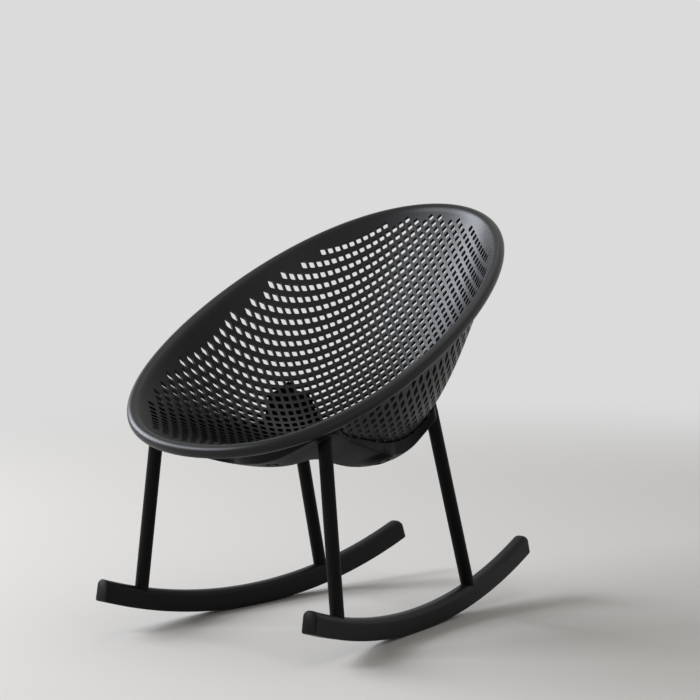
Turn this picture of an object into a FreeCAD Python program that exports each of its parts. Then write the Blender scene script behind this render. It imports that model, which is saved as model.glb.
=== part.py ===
import FreeCAD, Part
import math
import os

import Sketcher
from BOPTools import SplitAPI
from FreeCAD import Placement, Rotation, Vector

# Rocking chair: a perforated tub seat with a round rolled rim rests in a moulded cradle,
# the cradle's corner posts plug into four straight legs, and the legs stand in two rockers.
# The chair faces -Y and up is +Z. The origin is on the floor, in the mirror plane, half way
# between the places where the two rockers touch the floor.

SIZES = (
    ("rim_half_width", 308.1, "rim tube centre line, half its width"),
    ("rim_half_length", 446.6, "rim tube centre line, half its length along the slope"),
    ("rim_egg", 19.4, "how far the widest place moves towards the front"),
    ("rim_shoulder", 11.6, "extra fullness of the rim between its ends and sides"),
    ("rim_radius", 12.5, "radius of the rolled rim"),
    ("rim_height", 581.5, "height of the rim plane's middle above the floor"),
    ("rim_forward", 26.5, "place of the rim plane's middle, in front of the rockers' contact"),
    ("rim_tilt", 27.4, "slope of the rim plane, back up, in degrees"),
    ("bowl_depth", 243.4, "depth of the seat below the rim plane"),
    ("bowl_centre", 38.2, "deepest place, this far in front of the middle"),
    ("lip_rise", 4.5, "height of the wall above the rim plane where it joins the rim"),
    ("lip_inset", 9.0, "where that height is reached, inside the rim centre line"),
    ("wall_edge_inset", 8.0, "edge of the wall inside the rolled rim"),
    ("power_back", 1.924, "fullness of the backrest profile"),
    ("power_side", 2.39, "fullness of the side profile"),
    ("power_front", 2.044, "fullness of the front profile"),
    ("edge_slope_back", 1.342, "steepness of the backrest at the rim"),
    ("edge_slope_side", 3.276, "steepness of the sides at the rim"),
    ("edge_slope_front", 0.855, "steepness of the front at the rim"),
    ("shell_wall", 4.5, "wall of the seat"),
    ("net_pitch_across", 64.0, "spacing of the openings across the seat"),
    ("net_pitch_along", 67.0, "spacing of the openings along the seat"),
    ("net_start", 7.0, "row of openings nearest the middle of the seat"),
    ("net_half_diagonal", 19.0, "half diagonal of one square opening"),
    ("net_margin", 26.0, "plain band between rim centre line and openings, front and back"),
    ("net_margin_side", 36.0, "plain band between rim centre line and openings, sides"),
    ("boss_radius", 9.0, "screw boss under the seat"),
    ("boss_ring", 4.0, "plain ring kept free of openings round a boss"),
    ("front_boss_x", 72.0, "front screws, distance from the mirror plane"),
    ("front_boss_y", 325.0, "front screws, distance in front of the middle of the rim plane"),
    ("side_boss_x", 165.0, "side screws, distance from the mirror plane"),
    ("side_boss_y", 150.0, "side screws, distance in front of the middle of the rim plane"),
    ("rear_boss_x", 72.0, "rear screws, distance from the mirror plane"),
    ("rear_boss_y", 32.0, "rear screws, distance in front of the middle of the rim plane"),
    ("cradle_gap", 0.5, "clearance between seat and cradle"),
    ("cradle_wall", 5.0, "wall of the cradle's rails, which are channels open towards the seat"),
    ("cradle_front", 352.0, "front edge of the cradle at the mirror plane"),
    ("cradle_shoulder_x", 120.0, "front edge of the cradle, half way to the leg, across"),
    ("cradle_shoulder_y", 370.0, "front edge of the cradle, half way to the leg, along"),
    ("cradle_waist_x", 197.0, "side edge of the cradle between the legs"),
    ("cradle_waist_y", 130.0, "place of that edge in front of the middle"),
    ("cradle_flank_x", 194.0, "side edge of the cradle before the rear post, across"),
    ("cradle_flank_y", 50.0, "that edge, in front of the middle"),
    ("cradle_ear_x", 203.0, "edge of the cradle beside the rear post, across"),
    ("cradle_ear_y", 14.0, "that edge, behind the middle"),
    ("cradle_heel_x", 180.0, "edge of the cradle behind the rear post, across"),
    ("cradle_heel_y", 60.0, "that edge, behind the middle"),
    ("cradle_tail_x", 134.0, "edge of the cradle between rear post and rear rail, across"),
    ("cradle_tail_y", 40.0, "that edge, behind the middle"),
    ("cradle_bridge_x", 88.0, "rear edge of the cradle where the rear rail begins, across"),
    ("cradle_back", 6.0, "rear edge of the cradle at the mirror plane, in front of the middle"),
    ("window_front", 290.0, "opening of the cradle, front end"),
    ("window_front_x", 138.0, "opening, lobe towards the front leg, across"),
    ("window_front_y", 255.0, "opening, lobe towards the front leg, along"),
    ("window_waist_x", 128.0, "opening, half width between the side rails"),
    ("window_waist_y", 175.0, "place of that width in front of the middle"),
    ("window_rear_x", 138.0, "opening, lobe towards the rear leg, across"),
    ("window_rear_y", 92.0, "opening, lobe towards the rear leg, in front of the middle"),
    ("window_back", 62.0, "opening, rear end in front of the middle"),
    ("rail_depth", 27.0, "depth of the cradle's rails half way between the legs"),
    ("front_rise", 0.74, "share of that depth lost beside a front leg"),
    ("front_rise_x", 199.0, "place of the shallowest rail at a front leg, across"),
    ("front_rise_y", 315.0, "that place, in front of the middle"),
    ("front_rise_reach", 90.0, "length over which the rails get shallower near a front leg"),
    ("rear_rise", 0.45, "share of the depth lost beside a rear leg"),
    ("rear_rise_x", 205.0, "place of the shallowest rail at a rear leg, across"),
    ("rear_rise_y", 0.0, "that place, in front of the middle"),
    ("rear_rise_reach", 60.0, "length over which the rails get shallower near a rear leg"),
    ("pillar_radius", 16.0, "solid column of the cradle round a seat screw"),
    ("post_pillar_radius", 24.0, "solid foot of a corner post inside the rails"),
    ("spot_depth", 5.5, "recess for a washer and screw head, cut into the cradle"),
    ("leg_radius", 13.25, "radius of a leg and of a corner post"),
    ("leg_bore_radius", 9.25, "bore of a leg"),
    ("leg_solid_foot", 40.0, "solid length at the bottom of a leg"),
    ("front_foot_y", 299.8, "front leg at foot level, in front of the rockers' contact"),
    ("front_top_x", 204.8, "front leg at top level, from the mirror plane"),
    ("front_top_y", 290.9, "front leg at top level, in front of the rockers' contact"),
    ("rear_foot_y", 198.0, "rear leg at foot level, behind the rockers' contact"),
    ("rear_top_x", 172.6, "rear leg at top level, from the mirror plane"),
    ("rear_top_y", 109.2, "rear leg at top level, behind the rockers' contact"),
    ("foot_level", 60.0, "height at which the feet of the legs are placed"),
    ("top_level", 350.0, "height at which the tops of the legs are placed"),
    ("post_joint_level", 344.0, "height of the joint between leg and corner post"),
    ("post_reach", 120.0, "length of a corner post before the seat trims it"),
    ("post_bury", 1.0, "depth of a corner post's top inside the rail"),
    ("spigot_length", 45.0, "spigot of a corner post inside the leg"),
    ("fit_gap", 0.15, "clearance of a plug-in fit, on the radius"),
    ("rocker_radius", 1304.0, "radius of the sole of a rocker"),
    ("rocker_height", 42.0, "height of a rocker's section"),
    ("rocker_width", 30.0, "width of a rocker"),
    ("rocker_half_gauge", 205.2, "half the distance between the rockers where they touch the floor"),
    ("rocker_toe", 6.145, "angle by which the rockers close towards the back, in degrees"),
    ("rocker_front_angle", 18.0, "arc of a rocker in front of the contact, in degrees"),
    ("rocker_rear_angle", 20.55, "arc of a rocker behind the contact, in degrees"),
    ("rocker_crown", 12.0, "rounding of a rocker's top edges"),
    ("rocker_sole_edge", 1.5, "rounding of a rocker's sole edges"),
    ("rocker_nose", 19.0, "rounding of the rear end's top corner"),
    ("rocker_end_chamfer", 2.0, "bevel round the front end face"),
    ("socket_depth", 26.0, "socket of a leg in the rocker"),
    ("counterbore_radius", 9.0, "recess for a bolt head in the sole"),
    ("counterbore_depth", 8.0, "depth of that recess"),
    ("bolt_radius", 3.0, "radius of the rocker bolts and the seat screws"),
    ("bolt_clearance", 0.3, "clearance of their holes, on the radius"),
    ("bolt_head_radius", 5.0, "head of a rocker bolt"),
    ("bolt_head_height", 5.0, "head height of a rocker bolt"),
    ("bolt_grip", 15.0, "length of a rocker bolt inside its insert"),
    ("washer_radius", 8.5, "washer of a rocker bolt"),
    ("washer_thickness", 1.6, "thickness of the washers"),
    ("insert_radius", 4.4, "threaded insert, outside"),
    ("leg_insert_length", 17.0, "threaded insert in a leg"),
    ("seat_insert_length", 8.0, "threaded insert in a boss of the seat"),
    ("thread_gap", 0.1, "gap between screw and insert, and round an insert, on the radius"),
    ("seat_washer_radius", 12.0, "washer of a seat screw"),
    ("seat_head_radius", 6.0, "head of a seat screw"),
    ("seat_head_height", 3.5, "head height of a seat screw"),
    ("pin_radius", 2.1, "cross screw at the top of a leg"),
    ("pin_length", 10.0, "length of a cross screw in the spigot and the leg's wall"),
    ("pin_head_radius", 4.2, "head of a cross screw"),
    ("pin_head_height", 2.4, "head height of a cross screw"),
    ("pin_drop", 22.0, "distance of a cross screw below the joint"),
    ("pin_spot", 1.2, "depth of the flat under a cross screw's head"),
)

doc = FreeCAD.newDocument("RockingChair")
sheet = doc.addObject("Spreadsheet::Sheet", "Sizes")
for row, (alias, value, note) in enumerate(SIZES, start=1):
    sheet.set("A%d" % row, note)
    sheet.set("B%d" % row, str(value))
    sheet.setAlias("B%d" % row, alias)
doc.recompute()

SIDES = (("left", 1.0), ("right", -1.0))


def size(alias):
    return float(sheet.get(alias))


def bind(obj, **fields):
    for field, expression in fields.items():
        obj.setExpression(field, expression)


def add_cylinder(label, radius, height, place):
    """A cylinder whose radius and height are expressions in the sheet's names."""
    obj = doc.addObject("Part::Cylinder", label)
    obj.Label = label
    bind(obj, Radius=radius, Height=height)
    obj.Placement = place
    return obj


def add_fuse(label, parts):
    obj = doc.addObject("Part::MultiFuse", label)
    obj.Label = label
    obj.Shapes = parts
    return obj


def add_cut(label, base, tool):
    obj = doc.addObject("Part::Cut", label)
    obj.Label = label
    obj.Base = base
    obj.Tool = tool
    return obj


def add_group(label, parts):
    obj = doc.addObject("Part::Compound", label)
    obj.Label = label
    obj.Links = parts
    return obj


def along(origin, direction):
    """Placement that puts a piece's own Z axis on a line."""
    return Placement(origin, Rotation(Vector(0, 0, 1), direction))


# The seat's form, in the rim plane: x across, y up the slope, z square to the plane.

def rim_point(turn, inset):
    across = (size_of["rim_half_width"] - inset) * math.cos(turn)
    slope = size_of["rim_half_length"] * math.sin(turn)
    slope -= size_of["rim_egg"] * (1 + math.cos(2 * turn))
    slope += size_of["rim_shoulder"] * (math.sin(3 * turn) + math.sin(turn))
    return across, slope * (1 - inset / size_of["rim_half_length"])


size_of = {alias: size(alias) for alias, value, note in SIZES}
RIM_STEPS = 720
centre_y = -size_of["bowl_centre"]


def rim_directions():
    table = []
    for step in range(RIM_STEPS + 1):
        across, slope = rim_point(2 * math.pi * step / RIM_STEPS - math.pi, size_of["lip_inset"])
        table.append((math.atan2(slope - centre_y, across), math.hypot(across, slope - centre_y)))
    return sorted(table)


rim_table = rim_directions()


def rim_distance(angle):
    """Distance from the bowl's centre to the lip in one direction."""
    low, high = 0, len(rim_table) - 1
    while high - low > 1:
        middle = (low + high) // 2
        if rim_table[middle][0] <= angle:
            low = middle
        else:
            high = middle
    a, b = rim_table[low], rim_table[high]
    share = min(1.0, max(0.0, (angle - a[0]) / (b[0] - a[0])))
    return a[1] + share * (b[1] - a[1])


def blend(angle, back, side, front):
    weight = math.sin(angle) ** 2
    end = back if angle > 0 else front
    return end * weight + side * (1 - weight)


def bowl_height(x, y):
    """Inner face of the bowl: each profile from the centre to the lip is a fullness curve."""
    angle = math.atan2(y - centre_y, abs(x))
    rho = math.hypot(x, y - centre_y) / rim_distance(angle)
    power = blend(angle, size_of["power_back"], size_of["power_side"], size_of["power_front"])
    slope = blend(angle, size_of["edge_slope_back"], size_of["edge_slope_side"],
                  size_of["edge_slope_front"])
    drop = size_of["bowl_depth"] + size_of["lip_rise"]
    if rho > 1:
        return size_of["lip_rise"] + drop * slope * (rho - 1)
    return drop * rho ** power * (1 + (power - slope) * (1 - rho)) - size_of["bowl_depth"]


def gradient(x, y):
    step = 1.0
    dx = (bowl_height(x + step, y) - bowl_height(x - step, y)) / (2 * step)
    dy = (bowl_height(x, y + step) - bowl_height(x, y - step)) / (2 * step)
    return dx, dy


def offset_height(x, y, thickness):
    dx, dy = gradient(x, y)
    return bowl_height(x, y) - thickness * math.sqrt(1 + dx * dx + dy * dy)


# The curved faces are cubic surfaces over one rectangular grid of heights.

DEGREE = 3
POLES_ACROSS, POLES_ALONG = 15, 19
FITTING_ROUNDS = 3
grid_x = size_of["rim_half_width"] + 30.0
grid_y = size_of["rim_half_length"] + 33.0


def knot_vector(count):
    inner = count - DEGREE + 1
    knots = [step / (inner - 1) for step in range(inner)]
    return knots, [DEGREE + 1] + [1] * (inner - 2) + [DEGREE + 1]


def pole_places(count):
    knots, repeats = knot_vector(count)
    flat = []
    for knot, repeat in zip(knots, repeats):
        flat += [knot] * repeat
    return [sum(flat[i + 1:i + 1 + DEGREE]) / DEGREE for i in range(count)]


def bowl_face(distance):
    """The face that lies a distance, given as a function of the place, under the bowl's inner face."""
    us, vs = pole_places(POLES_ACROSS), pole_places(POLES_ALONG)
    places = [[((2 * u - 1) * grid_x, (2 * v - 1) * grid_y) for v in vs] for u in us]
    wanted = [[offset_height(x, y, distance(x, y)) for x, y in line] for line in places]
    heights = [list(line) for line in wanted]
    knots_u, repeats_u = knot_vector(POLES_ACROSS)
    knots_v, repeats_v = knot_vector(POLES_ALONG)
    surface = Part.BSplineSurface()
    for attempt in range(FITTING_ROUNDS):
        poles = [[Vector(x, y, heights[i][j]) for j, (x, y) in enumerate(line)]
                 for i, line in enumerate(places)]
        surface.buildFromPolesMultsKnots(poles, repeats_u, repeats_v, knots_u, knots_v, False, False,
                                         DEGREE, DEGREE)
        for i, u in enumerate(us):
            for j, v in enumerate(vs):
                heights[i][j] += wanted[i][j] - surface.value(u, v).z
    return surface.toShape()


def even(distance):
    return lambda x, y: distance


def closed_curve(points, height):
    curve = Part.BSplineCurve()
    curve.interpolate([Vector(x, y, height) for x, y in points], PeriodicFlag=True)
    return Part.Wire([curve.toShape()])


BELOW = -size_of["bowl_depth"] - 150.0
ABOVE = 110.0


def column(points):
    """Upright block over a closed outline, taller than the bowl."""
    return Part.Face(closed_curve(points, BELOW)).extrude(Vector(0, 0, ABOVE - BELOW))


def layer(outline, upper, lower):
    """The piece of an outline's block that lies between two curved faces."""
    pieces = SplitAPI.slice(outline, [upper, lower], "Split").Solids
    heights = sorted(pieces, key=lambda piece: piece.CenterOfMass.z)
    return heights[1]


def normal_line(x, y):
    """Point on the seat's outer face and the direction that leaves it there."""
    dx, dy = gradient(x, y)
    outward = Vector(dx, dy, -1).normalize()
    return Vector(x, y, offset_height(x, y, size_of["shell_wall"])), outward


seat_place = Placement(Vector(0, -size_of["rim_forward"], size_of["rim_height"]),
                       Rotation(Vector(1, 0, 0), size_of["rim_tilt"]))

BOSSES = [(side * size_of[end + "_boss_x"], -size_of[end + "_boss_y"])
          for end in ("front", "side", "rear") for side in (1, -1)]


def rail_depth(x, y):
    """Depth of the cradle's rails under the seat: lobes between the legs."""
    share = 1.0
    for end in ("front", "rear"):
        away = math.hypot(abs(x) - size_of[end + "_rise_x"], y + size_of[end + "_rise_y"])
        share -= size_of[end + "_rise"] * math.exp(-(away / size_of[end + "_rise_reach"]) ** 2)
    return size_of["rail_depth"] * share


# Screws hold the cradle under the seat: along each boss the distances from the seat's outer
# face are the gap, the rail down to the recess for the washer, the washer and the head.

def spot_level(x, y):
    return size_of["cradle_gap"] + rail_depth(x, y) - size_of["spot_depth"]


def boss_end(x, y):
    return spot_level(x, y) - size_of["cradle_gap"]


# Seat: one moulding of wall, rolled rim and screw bosses, with square openings set cornerwise
# in staggered rows and cut straight along the mould's pull. One opening stands for several.

def is_clear_of_bosses(x, y):
    keep = size_of["boss_radius"] + size_of["boss_ring"] + size_of["net_half_diagonal"]
    return all(math.hypot(x - bx, y - by) > keep for bx, by in BOSSES)


def net_places():
    places = []
    across, along_slope = size_of["net_pitch_across"], size_of["net_pitch_along"] / 2
    rows = int(size_of["rim_half_length"] / along_slope) + 1
    columns = int(size_of["rim_half_width"] / across) + 1
    for row in range(-rows, rows + 1):
        y = size_of["net_start"] + row * along_slope
        shift = 0.5 * (row % 2)
        for column_number in range(-columns, columns + 1):
            x = (column_number + shift) * across
            angle = math.atan2(y - centre_y, abs(x))
            end_margin = size_of["net_margin"]
            margin = blend(angle, end_margin, size_of["net_margin_side"], end_margin)
            room = rim_distance(angle) + size_of["lip_inset"] - margin - size_of["net_half_diagonal"]
            if math.hypot(x, y - centre_y) < room and is_clear_of_bosses(x, y):
                places.append((x, y))
    return places


def net_cutters():
    reach = size_of["net_half_diagonal"]
    cutters = []
    for x, y in net_places():
        corners = [Vector(x - reach, y, BELOW), Vector(x, y - reach, BELOW),
                   Vector(x + reach, y, BELOW), Vector(x, y + reach, BELOW)]
        square = Part.Face(Part.makePolygon(corners + corners[:1]))
        cutters.append(square.extrude(Vector(0, 0, -BELOW + ABOVE)))
    return cutters


RIM_POINTS = 48


def rim_outline(inset):
    return [rim_point(2 * math.pi * step / RIM_POINTS, inset) for step in range(RIM_POINTS)]


def rolled_rim():
    path = closed_curve(rim_outline(0.0), 0.0)
    start = Vector(*rim_point(0.0, 0.0), 0.0)
    section = Part.Wire([Part.Circle(start, Vector(0, 1, 0), size_of["rim_radius"]).toShape()])
    return path.makePipeShell([section], True, False)


def seat_shell():
    inner, outer = bowl_face(even(0.0)), bowl_face(even(size_of["shell_wall"]))
    wall = layer(column(rim_outline(size_of["wall_edge_inset"])), inner, outer)
    wall = wall.cut(Part.Compound(net_cutters()))
    pieces = [rolled_rim()]
    root = size_of["shell_wall"] / 2
    for x, y in BOSSES:
        foot, outward = normal_line(x, y)
        pieces.append(Part.makeCylinder(size_of["boss_radius"], root + boss_end(x, y), foot - outward * root,
                                        outward))
    shell = wall.fuse(pieces)
    holes = []
    for x, y in BOSSES:
        foot, outward = normal_line(x, y)
        length = size_of["seat_insert_length"]
        holes.append(Part.makeCylinder(size_of["insert_radius"] + size_of["thread_gap"], length + 1.0,
                                       foot + outward * (boss_end(x, y) - length), outward))
    shell = shell.cut(Part.Compound(holes))
    return shell.Solids[0] if len(shell.Solids) == 1 else shell


seat = doc.addObject("Part::Feature", "seat_shell")
seat.Label = "seat_shell"
seat.Shape = seat_shell()
seat.Placement = seat_place


# Legs: four straight round legs. Their feet stand on the middle line of the toed-in rockers.

def rocker_middle(y):
    toe = math.tan(math.radians(size_of["rocker_toe"]))
    return size_of["rocker_half_gauge"] - toe * y


def leg_line(end, side):
    """Foot point and upward direction of a leg's axis."""
    sign = -1 if end == "front" else 1
    foot_y = sign * size_of[end + "_foot_y"]
    foot = Vector(side * rocker_middle(foot_y), foot_y, size_of["foot_level"])
    top = Vector(side * size_of[end + "_top_x"], sign * size_of[end + "_top_y"], size_of["top_level"])
    return foot, (top - foot).normalize()


def level_on_leg(end, side, level):
    foot, up = leg_line(end, side)
    return foot + up * ((level - foot.z) / up.z)


def arc_on_leg(end, side, radius):
    """Point where a leg's axis crosses the cylinder of a given radius about the rocker's axis."""
    foot, up = leg_line(end, side)
    toe = math.radians(size_of["rocker_toe"])
    across = Vector(math.cos(toe), side * math.sin(toe), 0)
    hub = Vector(side * size_of["rocker_half_gauge"], 0, size_of["rocker_radius"])
    offset = foot - hub
    offset -= across * offset.dot(across)
    travel = up - across * up.dot(across)
    a = travel.dot(travel)
    b = 2 * offset.dot(travel)
    c = offset.dot(offset) - radius * radius
    return foot + up * ((-b - math.sqrt(b * b - 4 * a * c)) / (2 * a))


def leg_seat(end, side):
    """Bottom of a leg's socket."""
    foot, up = leg_line(end, side)
    top = arc_on_leg(end, side, size_of["rocker_radius"] - size_of["rocker_height"])
    return top - up * size_of["socket_depth"]


def sole_point(end, side):
    return arc_on_leg(end, side, size_of["rocker_radius"])


def pin_line(end, side):
    """Cross screw at the top of a leg: point on the leg's axis and the rearward direction."""
    foot, up = leg_line(end, side)
    rear = Vector(0, 1, 0) - up * up.y
    return level_on_leg(end, side, size_of["post_joint_level"]) - up * size_of["pin_drop"], rear.normalize()


def make_leg(end, name, side):
    label = "leg_%s_%s" % (end, name)
    foot, up = leg_line(end, side)
    bottom = leg_seat(end, side)
    joint = level_on_leg(end, side, size_of["post_joint_level"])
    place = along(bottom, up)
    body = doc.addObject("PartDesign::Body", label + "_stem")
    plane = [item for item in body.Origin.OriginFeatures if item.Role == "XY_Plane"][0]
    sketch = body.newObject("Sketcher::SketchObject", label + "_section")
    sketch.AttachmentSupport = [(plane, "")]
    sketch.MapMode = "FlatFace"
    sketch.addGeometry(Part.Circle(Vector(0, 0, 0), Vector(0, 0, 1), size_of["leg_radius"]), False)
    sketch.addConstraint(Sketcher.Constraint("Coincident", 0, 3, -1, 1))
    sketch.addConstraint(Sketcher.Constraint("Radius", 0, size_of["leg_radius"]))
    sketch.setExpression("Constraints[1]", "Sizes.leg_radius")
    stem = body.newObject("PartDesign::Pad", label + "_length")
    stem.Profile = sketch
    stem.Length = (joint - bottom).Length
    body.Placement = place
    bore = add_cylinder(label + "_bore", "Sizes.leg_bore_radius", "Sizes.rim_height",
                        along(bottom + up * size_of["leg_solid_foot"], up))
    insert_hole = add_cylinder(label + "_insert_hole", "Sizes.insert_radius + Sizes.thread_gap",
                               "Sizes.leg_insert_length + 2 * Sizes.bolt_radius", place)
    pin_point, rear = pin_line(end, side)
    pin_hole = add_cylinder(label + "_pin_hole", "Sizes.pin_radius + Sizes.fit_gap", "2 * Sizes.leg_radius",
                            along(pin_point, rear))
    spot = add_cylinder(label + "_pin_spot", "Sizes.pin_head_radius + Sizes.bolt_clearance",
                        "Sizes.leg_radius",
                        along(pin_point + rear * (size_of["leg_radius"] - size_of["pin_spot"]), rear))
    return add_cut(label, body, add_fuse(label + "_holes", [bore, insert_hole, pin_hole, spot]))


legs = {}
for side_name, side_sign in SIDES:
    for leg_end in ("front", "rear"):
        legs[leg_end, side_name] = make_leg(leg_end, side_name, side_sign)


# Rockers: curved runners, crowned on top and flat on the sole, with a rounded rear tip.

def rocker_profile(sketch):
    """Side view: sole arc, blunt front end, top arc and a rounded rear corner."""
    hub = Vector(0, size_of["rocker_radius"], 0)
    outer, inner = size_of["rocker_radius"], size_of["rocker_radius"] - size_of["rocker_height"]
    front = math.radians(size_of["rocker_front_angle"])
    rear = math.radians(size_of["rocker_rear_angle"])
    nose = size_of["rocker_nose"]
    nose_turn = math.asin(nose / (inner + nose))
    nose_centre = rear - nose_turn

    def spot(angle, radius):
        return hub + Vector(radius * math.sin(angle), -radius * math.cos(angle), 0)

    reach = (inner + nose) * math.cos(nose_turn)
    nose_middle = spot(nose_centre, inner + nose)
    corner = (spot(nose_centre, inner) - nose_middle).normalize()
    tip = (spot(rear, reach) - nose_middle).normalize()
    bend = nose_middle + (corner + tip).normalize() * nose
    lower = spot(0, outer)
    upper = spot((nose_centre - front) / 2, inner)
    sketch.addGeometry(Part.Arc(spot(-front, outer), lower, spot(rear, outer)), False)
    sketch.addGeometry(Part.LineSegment(spot(rear, outer), spot(rear, reach)), False)
    sketch.addGeometry(Part.Arc(spot(rear, reach), bend, spot(nose_centre, inner)), False)
    sketch.addGeometry(Part.Arc(spot(nose_centre, inner), upper, spot(-front, inner)), False)
    sketch.addGeometry(Part.LineSegment(spot(-front, inner), spot(-front, outer)), False)


def long_edges(shape, radius_from_hub, half_width):
    """Names of the side edges that lie on a given radius about the rocker's hub."""
    names = []
    for number, edge in enumerate(shape.Edges, start=1):
        middle = edge.valueAt((edge.FirstParameter + edge.LastParameter) / 2)
        distance = math.hypot(middle.y, middle.z - size_of["rocker_radius"])
        if abs(distance - radius_from_hub) < 0.01 and abs(abs(middle.x) - half_width) < 0.01:
            names.append("Edge%d" % number)
    return names


def end_edges(shape):
    """Names of the edges round the blunt front end."""
    angle = -math.radians(size_of["rocker_front_angle"])
    inward = Vector(0, math.cos(angle), math.sin(angle))
    hub = Vector(0, 0, size_of["rocker_radius"])
    names = []
    for number, edge in enumerate(shape.Edges, start=1):
        if all(abs((vertex.Point - hub).dot(inward)) < 0.01 for vertex in edge.Vertexes):
            names.append("Edge%d" % number)
    return names


def make_rocker(name, side):
    label = "rocker_" + name
    body = doc.addObject("PartDesign::Body", label + "_runner")
    plane = [item for item in body.Origin.OriginFeatures if item.Role == "YZ_Plane"][0]
    sketch = body.newObject("Sketcher::SketchObject", label + "_side")
    sketch.AttachmentSupport = [(plane, "")]
    sketch.MapMode = "FlatFace"
    rocker_profile(sketch)
    pad = body.newObject("PartDesign::Pad", label + "_width")
    pad.Profile = sketch
    pad.Midplane = True
    bind(pad, Length="Sizes.rocker_width")
    doc.recompute()
    half_width = size_of["rocker_width"] / 2
    crown = body.newObject("PartDesign::Fillet", label + "_crown")
    crown.Base = (pad, long_edges(pad.Shape, size_of["rocker_radius"] - size_of["rocker_height"], half_width))
    bind(crown, Radius="min(Sizes.rocker_crown; Sizes.rocker_width / 2 - 0.5)")
    doc.recompute()
    front_end = body.newObject("PartDesign::Chamfer", label + "_front_end")
    front_end.Base = (crown, end_edges(crown.Shape))
    bind(front_end, Size="Sizes.rocker_end_chamfer")
    doc.recompute()
    sole = body.newObject("PartDesign::Fillet", label + "_sole_edges")
    sole.Base = (front_end, long_edges(front_end.Shape, size_of["rocker_radius"], half_width))
    bind(sole, Radius="Sizes.rocker_sole_edge")
    body.Tip = sole
    turn = Rotation(Vector(0, 0, 1), side * size_of["rocker_toe"])
    body.Placement = Placement(Vector(side * size_of["rocker_half_gauge"], 0, 0), turn)
    cutters = []
    for end in ("front", "rear"):
        foot, up = leg_line(end, side)
        stem = label + "_" + end
        cutters.append(add_cylinder(stem + "_socket", "Sizes.leg_radius + Sizes.fit_gap",
                                    "Sizes.socket_depth + 2 * Sizes.rocker_height",
                                    along(leg_seat(end, side), up)))
        cutters.append(add_cylinder(stem + "_bolt_hole", "Sizes.bolt_radius + Sizes.bolt_clearance",
                                    "2 * Sizes.rocker_height",
                                    along(leg_seat(end, side) - up * size_of["rocker_height"], up)))
        cutters.append(add_cylinder(stem + "_recess", "Sizes.counterbore_radius",
                                    "Sizes.counterbore_depth + Sizes.rocker_height",
                                    along(sole_point(end, side) - up * size_of["rocker_height"], up)))
    return add_cut(label, body, add_fuse(label + "_holes", cutters))


rockers = [make_rocker(side_name, side_sign) for side_name, side_sign in SIDES]


# Cradle: rails that hug the underside of the seat round one large opening. They are channels,
# deep between the legs and shallow at the legs, with a post and a spigot at each corner.

def on_seat_plan(end, side):
    """Where a leg's axis meets the seat's outer face, seen square to the rim plane."""
    foot, up = leg_line(end, side)
    to_seat = seat_place.inverse()
    low, high = 0.0, 2 * size_of["rim_height"]
    for attempt in range(40):
        middle = (low + high) / 2
        point = to_seat.multVec(foot + up * middle)
        if point.z < offset_height(point.x, point.y, size_of["shell_wall"]):
            low = middle
        else:
            high = middle
    return point


def mirrored(half):
    """Closed loop from the points of the right half, front to back."""
    middle = [(x, y) for x, y in half if x > 0]
    return half + [(-x, y) for x, y in reversed(middle)]


def cradle_outline():
    front = on_seat_plan("front", 1.0)
    return mirrored([
        (0.0, -size_of["cradle_front"]),
        (size_of["cradle_shoulder_x"], -size_of["cradle_shoulder_y"]),
        (front.x + size_of["leg_radius"] / 2, front.y - 2 * size_of["leg_radius"]),
        (size_of["cradle_waist_x"], -size_of["cradle_waist_y"]),
        (size_of["cradle_flank_x"], -size_of["cradle_flank_y"]),
        (size_of["cradle_ear_x"], size_of["cradle_ear_y"]),
        (size_of["cradle_heel_x"], size_of["cradle_heel_y"]),
        (size_of["cradle_tail_x"], size_of["cradle_tail_y"]),
        (size_of["cradle_bridge_x"], 0.0),
        (0.0, -size_of["cradle_back"]),
    ])


def cradle_window():
    return mirrored([
        (0.0, -size_of["window_front"]),
        (size_of["window_front_x"], -size_of["window_front_y"]),
        (size_of["window_waist_x"], -size_of["window_waist_y"]),
        (size_of["window_rear_x"], -size_of["window_rear_y"]),
        (0.0, -size_of["window_back"]),
    ])


LOOP_POINTS = 60


def beside(points, distance):
    """Loop at a distance outside (or, negative, inside) a closed loop that runs anticlockwise."""
    curve = Part.BSplineCurve()
    curve.interpolate([Vector(x, y, 0) for x, y in points], PeriodicFlag=True)
    first, last = curve.FirstParameter, curve.LastParameter
    moved = []
    for step in range(LOOP_POINTS):
        turn = first + (last - first) * step / LOOP_POINTS
        tangent = curve.tangent(turn)[0]
        point = curve.value(turn)
        moved.append((point.x + tangent.y * distance, point.y - tangent.x * distance))
    return moved


def cradle_skin():
    near = size_of["shell_wall"] + size_of["cradle_gap"]
    wall = size_of["cradle_wall"]
    upper = bowl_face(even(near))
    under = bowl_face(lambda x, y: near + rail_depth(x, y))
    ceiling = bowl_face(lambda x, y: near + rail_depth(x, y) - wall)
    skin = layer(column(cradle_outline()), upper, under).cut(column(cradle_window()))
    channel = layer(column(beside(cradle_outline(), -wall)), upper, ceiling)
    channel = channel.cut(column(beside(cradle_window(), wall)))
    pillars = []
    for x, y in BOSSES:
        foot, outward = normal_line(x, y)
        pillars.append(Part.makeCylinder(size_of["pillar_radius"], 3 * size_of["rail_depth"],
                                         foot - outward * size_of["rail_depth"], outward))
    for end in ("front", "rear"):
        for side in (1.0, -1.0):
            meeting = on_seat_plan(end, side)
            foot, up = leg_line(end, side)
            along_leg = seat_place.inverse().Rotation.multVec(up)
            pillars.append(Part.makeCylinder(size_of["post_pillar_radius"], 6 * size_of["rail_depth"],
                                             meeting - along_leg * 3 * size_of["rail_depth"], along_leg))
    return skin.cut(channel.cut(Part.Compound(pillars)))


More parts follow.
